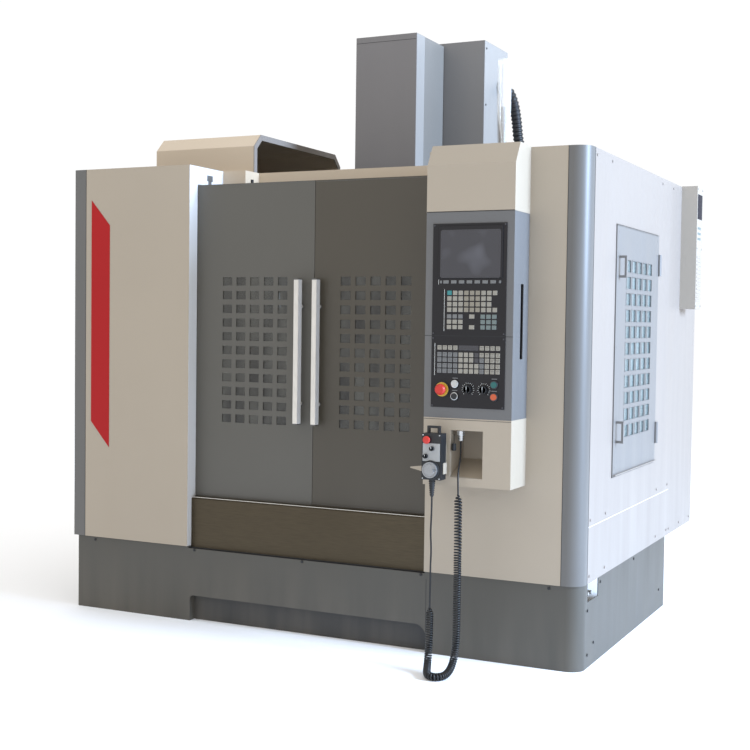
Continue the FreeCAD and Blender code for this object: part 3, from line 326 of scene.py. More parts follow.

# ---- oil fittings ------------------------------------------------------------------------------
# Three bright pipe fittings show in the notch of the skirt's right wall, on a small dark plate that is
# painted shade for the notch's shadowed inside. Each is a turned hexagon with a round stub.

def brushed(name, colour, roughness=0.32, grain=(40, 40, 1), metal=0.9):
    """Metal with fine lines along one direction, from brushing, grinding or turning."""
    material = bpy.data.materials.new(name)
    material.use_nodes = True
    tree = material.node_tree
    shader = tree.nodes["Principled BSDF"]
    where = tree.nodes.new("ShaderNodeTexCoord").outputs["Object"]
    lines = noise(tree, where, 22.0, 5.0, grain)
    cloud = noise(tree, where, 3.0, 2.0)
    lighter = tuple(min(1.0, c * 1.25) for c in linear(colour)[:3]) + (1,)
    darker = tuple(c * 0.78 for c in linear(colour)[:3]) + (1,)
    tone = blend_colour(tree, ramp(tree, lines, 0.3, 0.7), darker, lighter)
    tree.links.new(blend_colour(tree, ramp(tree, cloud, 0.3, 0.7, 0.0, 0.35), tone, darker),
                   shader.inputs["Base Color"])
    tree.links.new(ramp(tree, lines, 0.2, 0.8, roughness - 0.08, roughness + 0.12),
                   shader.inputs["Roughness"])
    shader.inputs["Metallic"].default_value = metal
    relief = tree.nodes.new("ShaderNodeBump")
    relief.inputs["Strength"].default_value = 0.12
    relief.inputs["Distance"].default_value = 0.0005
    tree.links.new(lines, relief.inputs["Height"])
    tree.links.new(relief.outputs["Normal"], shader.inputs["Normal"])
    return material


steel = brushed("ground_steel", (190, 190, 188), 0.25, (2, 40, 40))
fitting_z = 0.262
work = bmesh.new()
for y in (-0.69, -0.655, -0.62):
    rod(work, "x", (1.060, y, fitting_z), 0.040, 0.011, edge=0.001, segments=6)
    rod(work, "x", (1.098, y, fitting_z), 0.022, 0.0075, edge=0.001, segments=20)
piece("oil_fittings", work, "frame", steel)
# A dark plate behind the fittings: painted shade inside the notch.
boxes("notch_painted_shade", "frame", finish("notch_painted_shade", (74, 68, 76), 0.5),
      [((1.050, -0.712, 0.243), (1.060, -0.582, 0.300))], 0.002)

# ---- bed, column, saddle and table -------------------------------------------------------------
# Iron castings in machine enamel with ground ways. Hardened screws move a bright slotted table, felt
# and rubber wipers sweep the ways, and sheet covers slide over one another in front of the saddle.

iron = finish("painted_iron", (96, 104, 100), 0.55, bump=0.5, mottle=0.12)
rubber = finish("black_rubber", (20, 20, 21), 0.62, bump=0.2, dust=0.05)
apron_metal = brushed("apron_brushed_sheet", (73, 64, 49), 0.36, (1, 40, 40), 0.75)
clad(iron, "bed_casting", "column_casting", "saddle", "head_casting", "magazine_arm", "magazine_carriage")
clad(steel, "table", "x_screw", "y_screw", "z_screw", "spindle", "tool_holders")
clad(apron_metal, "splash_tray")
boxes("way_wipers", "saddle", rubber,
      [((x, y, 0.592), (x + 0.060, y + 0.006, 0.640)) for x in (-0.255, 0.195) for y in (-0.2265, 0.2205)],
      0.001)
boxes("way_covers", "frame", apron_metal,
      [((-0.30, -0.466 + 0.010 * i, 0.5905), (-0.262, -0.457 + 0.010 * i, 0.602)) for i in range(3)], 0.0004)
screws("column_bolts", "frame", [(x, 0.43, 0.62 + 0.012 * i) for x in (-0.20, 0.20) for i in (0, 8, 16)],
       "-y", 0.011, steel)

# ---- servo motors ------------------------------------------------------------------------------
# Square finned bodies in black enamel with a round encoder cap. Each is bolted to the end of its
# screw, and the largest stands on the head and turns the spindle.


def servo(name, body, axis, start, long, half):
    """A motor from its flange along an axis: nine fins round a core, and the encoder cap."""
    start, turn, fins, core = Vector(start), AXES[axis].to_3x3(), 9, half * 0.88
    work = bmesh.new()
    for i in range(fins):
        reach = half if i in (0, fins - 1) else half * 0.93
        block(work, start + turn @ Vector((-reach, -reach, long * i / fins)),
              start + turn @ Vector((reach, reach, long * (i + 0.62) / fins)), 0.002)
    block(work, start + turn @ Vector((-core, -core, 0)),
          start + turn @ Vector((core, core, long * 0.98)), 0.003)
    rod(work, axis, start + turn @ Vector((0, 0, long * 0.97)), long * 0.16, half * 0.72, edge=0.004)
    piece(name, work, body, black)


head_top, column_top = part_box("head_casting")[1].z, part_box("column_casting")[1].z
servo("saddle_motor", "frame", "y", (0, -0.538, 0.61), 0.05, 0.045)
servo("table_motor", "saddle", "x", (0.407, 0, 0.720), 0.12, 0.05)
servo("spindle_motor", "head", "z", (0, 0, head_top + 0.001), 0.40, 0.082)
servo("column_motor", "frame", "z", (0, 0.41, column_top + 0.001), 0.20, 0.06)

# ---- spindle nose and tool drum ----------------------------------------------------------------
# The ground nose has two drive keys, and a turned ring round it feeds the coolant. The tool
# changer's drum is a turned aluminium disc.

turned = brushed("turned_aluminium", (205, 206, 206), 0.28, (30, 30, 30))
clad(turned, "carousel")
work = bmesh.new()
for x in (-0.052, 0.038):
    block(work, (x, -0.011, 1.4495), (x + 0.014, 0.011, 1.462), 0.0015)
rod(work, "z", (0, 0, 1.4985), 0.0012, 0.078, segments=48)
piece("spindle_keys", work, "spindle", steel)
work = bmesh.new()
rod(work, "z", (0, 0, 1.4945), 0.0065, 0.105, 0.115, edge=0.001, segments=48)
rod(work, "x", (0.095, 0.05, 1.470), 0.05, 0.006, edge=0.001, segments=12)
piece("coolant_ring", work, "head", turned)

# ---- front covers and corner posts -------------------------------------------------------------
# Folded sheet in cream powder coat between dark grey corner posts. The left cover's return at the door
# opening is painted near-white as painted light for the right light falling on it, and a slanted red vinyl
# stripe runs down its face.

cream = finish("cream_powder_coat", (159, 147, 130), 0.42, mottle=0.04)
# A lighter copy of the cream: painted light on the hood and on the band above the doors.
cream_painted_light = finish("cream_painted_light_coat", (196, 178, 154), 0.42, mottle=0.04, dust=0)
strip_grey = finish("strip_grey_powder_coat", (93, 91, 88), 0.42)
# A near-white used as painted light: on the lit jamb face, and as painted highlights on the right side's seam
# and the handles' lit edges.
painted_light_white = finish("painted_light_white", (214, 213, 212), 0.40, mottle=0.02, dust=0.05)
red_vinyl = finish("red_vinyl", (158, 10, 14), 0.45, dust=0, bump=0.02, gloss=0.25)
clad(cream, "left_front_panel", "right_front_panel")
clad(cream_painted_light, "front_header")
clad(strip_grey, "corner_strips")
panel_low, panel_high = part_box("left_front_panel")
jamb_light_left, jamb_light_right = panel_high.x - 0.0004, panel_high.x + 0.0006
jamb_light_fold, jamb_light_top = front + 0.058, 1.806
# The jamb face is painted near-white: painted light for the right light falling on it.
boxes("jamb_painted_light", "frame", painted_light_white,
      [((jamb_light_left, front + 0.001, panel_low.z + 0.001), (jamb_light_right, jamb_light_fold, panel_high.z - 0.001)),
       ((jamb_light_left, jamb_light_fold, jamb_light_top), (jamb_light_right, panel_high.y, panel_high.z - 0.001))], 0)
stripe_left, stripe_right, stripe_bottom, stripe_top, slant = -1.045, -0.949, 0.699, 1.749, 0.108
work = bmesh.new()
block(work, (stripe_left, front - 0.0012, stripe_bottom), (stripe_right, front - 0.0004, stripe_top))
stripe_middle = ((stripe_left + stripe_right) / 2, (stripe_bottom + stripe_top) / 2)
for side in (-1, 1):
    cut_corner = [v for v in work.verts
                  if (v.co.x > stripe_middle[0]) == (v.co.z > stripe_middle[1]) == (side > 0)]
    bmesh.ops.translate(work, verts=cut_corner, vec=(0, 0, -side * slant))
piece("side_stripe", work, "frame", red_vinyl)

# ---- apron -------------------------------------------------------------------------------------
# A brushed sheet below the doors, with a painted highlight along its top edge. A rubber strip closes the gap
# under it.

satin_and_highlight = brushed("satin_handle_and_apron_highlight", (204, 198, 188), 0.38, (60, 60, 1), 0.15)
clad(apron_metal, "front_apron")
apron_low, apron_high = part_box("front_apron")
apron_left, apron_right = apron_low.x + 0.001, apron_high.x - 0.001
boxes("apron_gasket", "frame", rubber,
      [((apron_left, apron_low.y - 0.017, 0.2960), (apron_right, apron_low.y - 0.0005, 0.3030))], 0)
# A thin bright strip along the apron's top edge: a painted highlight.
boxes("apron_top_highlight", "frame", satin_and_highlight,
      [((apron_left, apron_low.y - 0.0010, apron_high.z - 0.0022),
        (apron_right, apron_low.y + 0.0005, apron_high.z - 0.0002))], 0)

# ---- side and rear walls -----------------------------------------------------------------------
# Folded panels in a darker copy of the cream, painted shade against the strong right light, screwed along
# their edges.
# Joints show as dark lines, one on the right with a painted highlight, and louvres are pressed in the rear
# panel and the cabinet door.

# A darker copy of the front's cream for the side, rear and cabinet walls: painted shade, to hold back the
# strong light from the right.
shaded_cream = finish("cream_painted_shade_coat", (134, 125, 117), 0.42, mottle=0.03, dust=0.1)
clad(shaded_cream, "left_side_panel", "right_side_panel", "rear_panel", "electrical_cabinet", "cabinet_door")
seam, wall, back_face = 0.0018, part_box("right_side_panel")[1].x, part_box("rear_panel")[1].y
boxes("panel_seams", "frame", black,
      [((x - seam / 2, front - 0.0006, panel_low.z), (x + seam / 2, front + 0.001, panel_high.z))
       for x in (panel_low.x, 1.058)] +
      [((wall - 0.001, front + 0.076, panel_low.z), (wall + 0.0006, front + 0.078, panel_high.z)),
       ((-wall - 0.0006, front + 0.040, panel_low.z), (-wall + 0.001, front + 0.042, panel_high.z)),
       ((-wall - 0.0006, 0.20, panel_low.z), (-wall + 0.001, 0.20 + seam, panel_high.z)),
       ((-wall - 0.0006, front + 0.042, 0.516), (-wall + 0.001, 0.20, 0.516 + seam))], 0)
# A near-white line along the right side's seam: a painted highlight on its edge.
boxes("side_seam_highlight", "frame", painted_light_white,
      [((wall - 0.001, front + 0.078, 0.515), (wall + 0.0006, 0.524, 0.515 + seam))], 0)
boxes("rear_seams", "frame", black,
      [((x, back_face - 0.001, 0.313), (x + seam, back_face + 0.0006, 1.877)) for x in (-0.482, 0.118)], 0)
screws("side_screws", "frame",
       [(wall, y, z) for y in (-0.70, -0.50, 0.30, 0.50) for z in (0.335, 0.54, 1.855)]
       + [(wall, 0.545 + 0.21 * i, 0.335) for i in range(3)], "x", 0.005, shaded_cream)
screws("left_side_screws", "frame", [(-wall, y, z) for y in (-0.73, -0.30, 0.15, 0.23, 0.60, 0.97)
                                     for z in (0.335, 0.54, 1.855)], "-x", 0.005)
screws("rear_screws", "frame",
       [(x, back_face, z) for x in (-1.08, -0.68, -0.28, 0.12, 0.52) for z in (0.34, 1.10, 1.85)],
       "y", 0.005)
for name, body, left, right, bottom in (("rear_louvres", "frame", -0.98, -0.62, 0.46),
                                        ("cabinet_louvres", "cabinet_door", 0.64, 0.92, 1.30)):
    boxes(name, body, shaded_cream,
          [((left, back_face - 0.001, z), (right, back_face + 0.006, z + 0.009))
           for z in (bottom + 0.022 * i for i in range(14))], 0.003)

# ---- tool changer hood -------------------------------------------------------------------------
# A raised hood in the lighter cream, painted light, screwed down on the roof, with a light folded rim round
# its open right end.

clad(cream_painted_light, "toolchanger_hood")
hood_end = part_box("toolchanger_hood")[1].x
hood_front, hood_rear, hood_foot, hood_top, slope, rim = -0.400, 0.405, 1.883, 2.060, 0.055, 0.024


def chain(work, points):
    """A line of vertices joined by edges, and the edges on their own."""
    made = [work.verts.new(point) for point in points]
    return made, [work.edges.new(pair) for pair in zip(made, made[1:])]


def hood_arch(inset, nip):
    """The hood's outline at its open end, moved in by an inset and narrowed at the slopes."""
    return [(hood_end, y, z) for y, z in (
        (hood_front + inset, hood_foot), (hood_front + inset, hood_top - slope - nip),
        (hood_front + slope + nip, hood_top - inset), (hood_rear - slope - nip, hood_top - inset),
        (hood_rear - inset, hood_top - slope - nip), (hood_rear - inset, hood_foot))]


work = bmesh.new()
outer_edges, inner_edges = chain(work, hood_arch(0, 0))[1], chain(work, hood_arch(rim, 0.008))[1]
bmesh.ops.bridge_loops(work, edges=outer_edges + inner_edges)
thicken(work, (0.004, 0, 0))
piece("hood_rim", work, "frame", shaded_cream)
screws("hood_screws", "frame",
       [(x, y, hood_foot) for x in (-1.05, -0.85, -0.65, -0.53) for y in (-0.425, 0.428)], "z", 0.005)

# ---- spindle cover and column cover ------------------------------------------------------------
# Two tall folded boxes over the head and the column, with grey sides and screws down the edges; the crown's
# sides and the cover's front side flanges are a lighter grey, painted light.

tower_grey = finish("tower_grey_powder_coat", (110, 106, 104), 0.42)
crown_grey = finish("crown_grey_powder_coat", (112, 109, 106), 0.42)
# A lighter copy of the cover grey: painted light on the sides.
lit_side_grey = finish("cover_side_painted_light", (142, 138, 133), 0.42)
rear_grey = finish("cover_rear_powder_coat", (116, 112, 106), 0.42)
clad(tower_grey, "head_cover")
clad(crown_grey, "column_top_cover")
crown_low, crown_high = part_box("column_top_cover")
cover_low, cover_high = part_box("head_cover")
cover_fold = cover_low.y + 0.087
screws("cover_screws", "head", [(cover_high.x - 0.008, 0.02, z) for z in (1.98, 2.22, 2.46)], "x", 0.005)
for name, grey, ahead, behind, edge in (("cover_strips", lit_side_grey, cover_low.y + 0.002, cover_fold, 0.0003),
                                        ("cover_rear_strips", rear_grey, cover_fold + 0.0005,
                                         cover_high.y - 0.002, 0)):
    boxes(name, "head", grey,
          [((x, ahead, cover_low.z + 0.002), (x + 0.001, behind, cover_high.z - 0.001))
           for x in (cover_high.x - 0.0002, cover_low.x - 0.0008)], edge)
boxes("crown_sides", "frame", lit_side_grey,
      [((x, crown_low.y + 0.002, crown_low.z + 0.001),
        (x + 0.001, crown_high.y - 0.002, crown_high.z - 0.001))
       for x in (crown_high.x - 0.0002, crown_low.x - 0.0008)], 0.0003)
screws("crown_screws", "frame", [(crown_high.x, y, z) for y in (0.225, 0.478) for z in (1.99, 2.23, 2.48)],
       "x", 0.005)
boxes("crown_seams", "frame", black,
      [((crown_high.x - 0.001, 0.2052, 1.95), (crown_high.x + 0.0006, 0.2068, 2.51)),
       ((crown_low.x + 0.04, crown_high.y - 0.001, 1.99),
        (crown_high.x - 0.04, crown_high.y + 0.0006, 1.992))], 0)
boxes("cover_seams", "head", black,
      [((cover_low.x + 0.001, cover_low.y - 0.0006, 2.474),
        (cover_high.x - 0.001, cover_low.y + 0.001, 2.4755))], 0)

# ---- conduit -----------------------------------------------------------------------------------
# A ribbed plastic conduit carries the spindle cables. It leaves the column cover's side, bows out and
# comes down on the cabinet roof, with a clamp ring at each end.


def nurbs(name, points, resolution):
    """A smooth open curve through the space that its points bound."""
    curve = bpy.data.curves.new(name, "CURVE")
    curve.dimensions = "3D"
    spline = curve.splines.new("NURBS")
    spline.points.add(len(points) - 1)
    for point, place in zip(spline.points, points):
        point.co = (*place, 1)
    spline.order_u = 3
    spline.use_endpoint_u = True
    spline.resolution_u = resolution
    return curve


def smooth_line(name, points):
    """Close-set places on the smooth curve of a route's points."""
    holder = bpy.data.objects.new(name, nurbs(name, points, 24))
    places = [vertex.co.copy() for vertex in bpy.data.meshes.new_from_object(holder).vertices]
    bpy.data.objects.remove(holder)
    return places


def frames_along(points, step):
    """Evenly spaced places on a line, each with its direction and two steady cross directions."""
    lengths = [0.0]
    for one, two in zip(points, points[1:]):
        lengths.append(lengths[-1] + (two - one).length)
    count = max(2, round(lengths[-1] / step))
    places, across, at = [], None, 0
    for i in range(count + 1):
        goal = lengths[-1] * i / count
        while at < len(points) - 2 and lengths[at + 1] < goal:
            at += 1
        share = (goal - lengths[at]) / max(1e-9, lengths[at + 1] - lengths[at])
        way = (points[at + 1] - points[at]).normalized()
        if across is None:
            across = way.orthogonal().normalized()
        across = (across - way * across.dot(way)).normalized()
        places.append((points[at].lerp(points[at + 1], share), way, across.copy(), way.cross(across), goal))
    return places


def ribbed_tube(work, places, radius_at, sides=24):
    """A closed tube bridged over rings whose radius changes from place to place."""
    before = []
    for i, (centre, way, across, third, _) in enumerate(places):
        turn = Matrix((across, third, way)).transposed().to_4x4()
        ring = bmesh.ops.create_circle(work, cap_ends=i in (0, len(places) - 1), segments=sides,
                                       radius=radius_at(i), matrix=Matrix.Translation(centre) @ turn)
        edges = list({e for v in ring["verts"] for e in v.link_edges})
        if before:
            bmesh.ops.bridge_loops(work, edges=before + edges)
        before = edges


conduit_start = Vector((crown_high.x, crown_high.y - 0.110, 2.330))
cabinet_low, cabinet_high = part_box("electrical_cabinet")
conduit_drop = cabinet_high.z - conduit_start.z
conduit_route = [conduit_start + Vector(step) for step in
                 ((0, 0, 0), (0.040, 0, 0), (0.072, 0, -0.060), (0.090, 0, -0.150), (0.096, 0.010, -0.250),
                  (0.112, 0.060, -0.340), (0.190, 0.180, -0.400), (0.290, 0.240, -0.400),
                  (0.330, 0.262, -0.430), (0.330, 0.262, conduit_drop))]
work = bmesh.new()
ribbed_tube(work, frames_along(smooth_line("conduit_route", conduit_route), 0.0045),
            lambda i: 0.024 if i % 4 in (1, 2) else 0.0205)
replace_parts(piece("ribbed_conduit", work, "frame", black, smooth=True), "head_conduit")
work = bmesh.new()
rod(work, "x", conduit_start, 0.022, 0.034, edge=0.003, segments=8)
rod(work, "z", conduit_route[-1], 0.024, 0.034, edge=0.003, segments=8)
piece("conduit_clamps", work, "frame", steel)

# ---- signal lamp -------------------------------------------------------------------------------
# A turned foot and a tapered stem carry a tall clear sleeve. The unlit lens stack stands inside it,
# brown-grey below and paler above, under a clear cap.

lamp_low, lamp_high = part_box("signal_lamp")
lamp_x, lamp_y = (lamp_low.x + lamp_high.x) / 2, (lamp_low.y + lamp_high.y) / 2
work = bmesh.new()
rod(work, "z", (lamp_x, lamp_y, lamp_low.z), 0.008, 0.034, edge=0.002, segments=40)
rod(work, "z", (lamp_x, lamp_y, lamp_low.z + 0.007), 0.014, 0.016, edge=0.001, segments=40)
lamp_foot = finish("lamp_foot", (150, 146, 138), 0.35, dust=0)
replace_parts(piece("lamp_foot", work, "frame", lamp_foot, smooth=True), "signal_lamp")
lens_low = finish("lamp_lens_low", (118, 106, 92), 0.25, dust=0, coat=0.4)
lens_high = finish("lamp_lens_high", (214, 210, 212), 0.22, dust=0, coat=0.5)
taper_top, low_top, high_top, lens_pitch = 1.990, 2.046, 2.206, 0.0046
for name, low, high, thin, thick, lens_colour in (
        ("lamp_stack_taper", lamp_low.z + 0.020, taper_top, 0.0040, 0.0120, lens_low),
        ("lamp_stack_low", taper_top, low_top, 0.0120, 0.0125, lens_low),
        ("lamp_stack_high", low_top + 0.001, high_top, 0.0125, 0.0125, lens_high)):
    work = bmesh.new()
    turns = int((high - low) / lens_pitch)
    for i in range(turns):
        swell = thin + (thick - thin) * i / turns
        rod(work, "z", (lamp_x, lamp_y, low + lens_pitch * i), lens_pitch, swell, swell * 0.93, edge=0.0004,
            segments=36)
    piece(name, work, "frame", lens_colour, smooth=True)
clear = bpy.data.materials.new("clear_sleeve")
clear.use_nodes = True
clear_tree = clear.node_tree
clear_shader = clear_tree.nodes["Principled BSDF"]
clear_shader.inputs["Base Color"].default_value = (0.93, 0.95, 0.95, 1)
clear_shader.inputs["Alpha"].default_value = 0.24
clear_shader.inputs["Coat Weight"].default_value = 0.6
scratches = noise(clear_tree, clear_tree.nodes.new("ShaderNodeTexCoord").outputs["Object"], 60, 4)
clear_tree.links.new(ramp(clear_tree, scratches, 0.3, 0.7, 0.03, 0.12), clear_shader.inputs["Roughness"])
work = bmesh.new()
sleeve_verts, sleeve_edges = chain(work, [(lamp_x + radius, lamp_y, z) for radius, z in (
    (0.0090, lamp_low.z + 0.021), (0.0100, 1.925), (0.0150, 1.958), (0.0210, 1.990), (0.0248, 2.020),
    (0.0260, 2.050), (0.0260, 2.212), (0.0240, 2.2205), (0.0190, 2.2228), (0.0, 2.2230))])
bmesh.ops.spin(work, geom=sleeve_verts + sleeve_edges, cent=(lamp_x, lamp_y, 0), axis=(0, 0, 1),
               angle=math.tau, steps=40, use_merge=True)
bmesh.ops.remove_doubles(work, verts=work.verts, dist=0.00005)
sleeve = piece("lamp_sleeve", work, "frame", clear, smooth=True)
sleeve_wall = sleeve.modifiers.new("wall", "SOLIDIFY")
sleeve_wall.thickness, sleeve_wall.offset = 0.0018, -1

# ---- sliding doors -----------------------------------------------------------------------------
# Each door is a folded panel pierced by a grid of small apertures over one tinted pane. A bright bar
# handle stands on two studs beside the meeting edge, and rubber strips seal where the doors meet.


def clouded_pane(name, alpha, coat, clouds, tones, rough, spread=(0.3, 0.7)):
    """Clear or dark plastic whose colour holds faint clouds of painted reflection, dull and soft."""
    material = bpy.data.materials.new(name)
    material.use_nodes = True
    tree = material.node_tree
    shader = tree.nodes["Principled BSDF"]
    shader.inputs["Alpha"].default_value = alpha
    shader.inputs["Coat Weight"].default_value = coat
    cloud = noise(tree, tree.nodes.new("ShaderNodeTexCoord").outputs["Object"], *clouds)
    tree.links.new(blend_colour(tree, ramp(tree, cloud, *spread), *map(linear, tones)),
                   shader.inputs["Base Color"])
    tree.links.new(ramp(tree, cloud, 0.3, 0.7, *rough), shader.inputs["Roughness"])
    return material


door_grey = finish("door_grey_powder_coat", (81, 78, 71), 0.40, mottle=0.05)
fold_grey = finish("aperture_rim", (84, 82, 79), 0.40)
tinted = clouded_pane("tinted_pane", 0.7, 0.6, (5, 4, (3.0, 1.0, 0.9)), ((20, 19, 18), (76, 75, 68)),
                      (0.10, 0.25))
clad(door_grey, "left_door")
# The right door has the same paint as the left; its darker, browner colour is painted shade from the console
# beside it.
clad(finish("right_door_painted_shade", (65, 59, 48), 0.40, mottle=0.05), "right_door")
clad(tinted, "left_door_window", "right_door_window")
clad(satin_and_highlight, "left_door_handle", "right_door_handle")
clad(steel, "door_rails")
for side in ("left", "right"):
    door_low, door_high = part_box(f"{side}_door")
    handle_low, handle_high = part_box(f"{side}_door_handle")
    middle = (handle_low.x + handle_high.x) / 2
    work = bmesh.new()
    for z in (0.919, 1.305):
        rod(work, "y", (middle, door_low.y - 0.004, z), 0.004, 0.0095, edge=0.001, segments=32)
    for bottom, top in ((0.836, 0.841), (1.409, 1.414)):
        block(work, (middle - 0.0103, handle_low.y - 0.0003, bottom),
              (middle + 0.0103, handle_low.y + 0.0303, top), 0.0008)
    piece(f"{side}_handle_fittings", work, f"{side}_door", fold_grey)
    # A near-white strip on each handle bar's right face: a painted highlight for its lit side.
    boxes(f"{side}_handle_highlight", f"{side}_door", painted_light_white,
          [((handle_high.x - 0.0004, handle_low.y + 0.002, handle_low.z + 0.001),
            (handle_high.x + 0.0005, handle_low.y + 0.028, handle_high.z - 0.001))], 0)
    meeting = door_high.x - 0.0025 if side == "left" else door_low.x
    boxes(f"{side}_door_seal", f"{side}_door", rubber,
          [((meeting, door_low.y + 0.004, 0.520), (meeting + 0.0025, door_low.y + 0.028, 1.798))], 0.0008)
    boxes(f"{side}_door_folds", f"{side}_door", fold_grey,
          [((door_low.x + 0.004, door_low.y - 0.0005, z),
            (door_high.x - 0.004, door_low.y + 0.0005, z + 0.0014))
           for z in (0.5210, 1.7960)], 0)
boxes("jamb_catch", "frame", strip_grey,
      [((-0.5475, -0.672, 1.826), (-0.5445, -0.632, 1.850)),
       ((-0.5475, -0.664, 1.812), (-0.5450, -0.640, 1.826))], 0.0008)
boxes("interlock", "frame", black,
      [((-0.434, -0.516, 1.782), (-0.422, -0.486, 1.812)),
       ((-0.434, -0.508, 1.812), (-0.428, -0.494, 1.846))], 0.001)

# ---- console and its screen --------------------------------------------------------------------
# The swivelling console is a grey folded housing. Its black membrane panel is in two plates, screwed
# on, and the upper one carries a framed screen.

console_grey = finish("console_fine_texture", (95, 94, 93), 0.52, bump=0.25)
panel_black = finish("panel_black_foil", (26, 24, 26), 0.32, bump=0.04, dust=0, gloss=0.3)
key_dark = finish("key_dark", (58, 56, 58), 0.40, dust=0, bump=0.02)
# White for print, also used for a painted highlight on the screen bezel.
print_and_highlight_white = finish("print_and_highlight_white", (222, 222, 216), 0.5, dust=0, bump=0)
screen_glass = clouded_pane("screen_glass", 1.0, 0.5, (9, 1), ((44, 43, 48), (74, 74, 80)), (0.10, 0.22),
                            spread=(0.42, 0.58))
clad(console_grey, "console_housing")
clad(panel_black, "operator_panel")
console_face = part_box("console_housing")[0].y
panel_face = console_face - 0.003
boxes("screen_bezel", "console", panel_black,
      [((0.632, panel_face - 0.0030, 1.405), (0.878, panel_face + 0.0003, 1.592))], 0.0022)
boxes("screen", "console", screen_glass,
      [((0.6445, panel_face - 0.0034, 1.4105), (0.8665, panel_face - 0.0026, 1.5745))], 0.0003)
rim_left, rim_right, rim_low, rim_high, rim_wide = 0.6415, 0.8665, 1.4075, 1.5745, 0.003
boxes("screen_rim", "console", key_dark,
      [((rim_left, panel_face - 0.0037, z), (rim_right + rim_wide, panel_face - 0.0028, z + rim_wide))
       for z in (rim_low, rim_high)]
      + [((x, panel_face - 0.0037, rim_low), (x + rim_wide, panel_face - 0.0028, rim_high + rim_wide))
         for x in (rim_left, rim_right)], 0.0002)
# Thin white lines on the panel; the two beside the screen's left edge are a painted highlight on the bezel.
boxes("panel_lines_and_bezel_highlight", "console", print_and_highlight_white,
      [((x, panel_face - 0.0004, z), (x + 0.001, panel_face + 0.0002, z + tall)) for x, z, tall in
       ((0.6235, 1.059, 0.115), (0.6575, 1.218, 0.148), (0.6432, 1.414, 0.150), (0.6345, 1.384, 0.018))], 0)
split = 1.2000
boxes("panel_split", "console", rubber,
      [((0.611, panel_face - 0.0003, split), (0.891, panel_face + 0.0005, split + 0.0022))]
      + [((left, console_face - 0.0004, split), (right, console_face + 0.0005, split + 0.0016))
         for left, right in ((0.583, 0.611), (0.891, 0.918))], 0)
screws("panel_screws", "console",
       [(x, panel_face, z) for x in (0.617, 0.885) for z in (0.951, 1.192, 1.210, 1.594)],
       "-y", 0.0030, key_dark)

# ---- keys --------------------------------------------------------------------------------------
# Membrane keys with no lettering: a row of soft keys, a keyboard of cream, tan, grey and sea-green
# keys, and three key fields below. Plain bars stand for the signs on the outer fields.

key_cream = finish("key_cream", (138, 133, 122), 0.45, dust=0, bump=0.02)
key_tan = finish("key_tan", (128, 121, 107), 0.45, dust=0, bump=0.02)
key_sea = finish("key_sea", (100, 110, 107), 0.45, dust=0, bump=0.02)
key_grey = finish("key_grey", (104, 104, 103), 0.45, dust=0, bump=0.02)
key_teal = finish("key_teal", (46, 120, 120), 0.45, dust=0, bump=0.02)
MM = 0.001


def keys(name, material, spots, wide, tall):
    """Low rounded pads on the panel, given by their lower left corners in millimetres."""
    boxes(name, "console", material,
          [((x * MM, panel_face - 0.0014, z * MM), ((x + wide) * MM, panel_face + 0.0002, (z + tall) * MM))
           for x, z in spots], 0.0011)


def key_row(left, pitch, bottom, count=4):
    """The lower left corners of a row of keys."""
    return [(left + pitch * i, bottom) for i in range(count)]


soft_row, soft_left, soft_pitch = 1387, 653, 29.8
keys("soft_keys", key_grey, key_row(soft_left, soft_pitch, soft_row, 7), 21, 12)
keys("arrow_keys", key_grey, [(640, soft_row + 1), (864, soft_row + 1)], 8, 10)
letter_left, letter_pitch, letter_rows = 669, 21.6, (1346, 1326, 1306, 1286)
letters = {(column, row): (letter_left + letter_pitch * column, bottom)
           for row, bottom in enumerate(letter_rows) for column in range(9)}
for name, colour, columns in (("letter_keys", key_cream, (0, 1, 2, 6, 7, 8)),
                              ("shift_keys", key_tan, (3, 4, 5))):
    keys(name, colour, [spot for (column, row), spot in letters.items() if column in columns
                        and (column, row) not in ((0, 0), (8, 1), (8, 2))], 17, 16)
keys("first_key", key_teal, [letters[0, 0]], 17, 16)
number_rows = (1263, 1244, 1225)
keys("upper_number_keys", key_grey, key_row(letter_left, letter_pitch, number_rows[0], 3), 17, 15)
keys("number_keys", key_cream,
     [spot for z in number_rows[1:] for spot in key_row(letter_left, letter_pitch, z, 3)], 17, 15)
keys("page_keys", key_cream, [(754, number_rows[0]), (754, number_rows[2])], 20, 15)
keys("edit_keys", key_sea, [spot for z in number_rows for spot in key_row(797, letter_pitch, z, 3)], 17, 15)
field_rows, field_pitch, left_pitch = (1151, 1126.5, 1107.5, 1087, 1068), 20.2, 20.4
left_field, middle_field, right_field = 634, 716, 796
keys("left_top_row", key_cream, key_row(left_field, left_pitch, field_rows[0]), 16.5, 16)
keys("left_field", key_grey,
     [spot for z in field_rows[1:] for spot in key_row(left_field, left_pitch, z)], 16.5, 16)
keys("middle_field", key_cream,
     [spot for z in field_rows[1:]
      for spot in key_row(middle_field, field_pitch, z, 3 if z in field_rows[1:3] else 4)], 16, 16)
keys("middle_dark_keys", key_dark, [(middle_field + 3 * field_pitch, z) for z in field_rows[1:3]], 16, 16)
keys("right_field_first", key_grey, [(right_field, z) for z in field_rows[2:]], 16, 16)
keys("right_field", key_cream,
     [spot for row, z in enumerate(field_rows)
      for spot in key_row(right_field, field_pitch, z)[0 if row < 2 else 1:]], 16, 16)
boxes("key_marks", "console", key_dark,
      [(((x + inset) * MM, panel_face - 0.00155, (z + low) * MM),
        ((x + wide - inset) * MM, panel_face - 0.0012, (z + high) * MM))
       for left, pitch, wide in ((left_field, left_pitch, 16.5), (right_field, field_pitch, 16))
       for inset, low, high in ((3, 10, 11.2), (5, 5, 6))
       for row in field_rows for x, z in key_row(left, pitch, row)], 0)
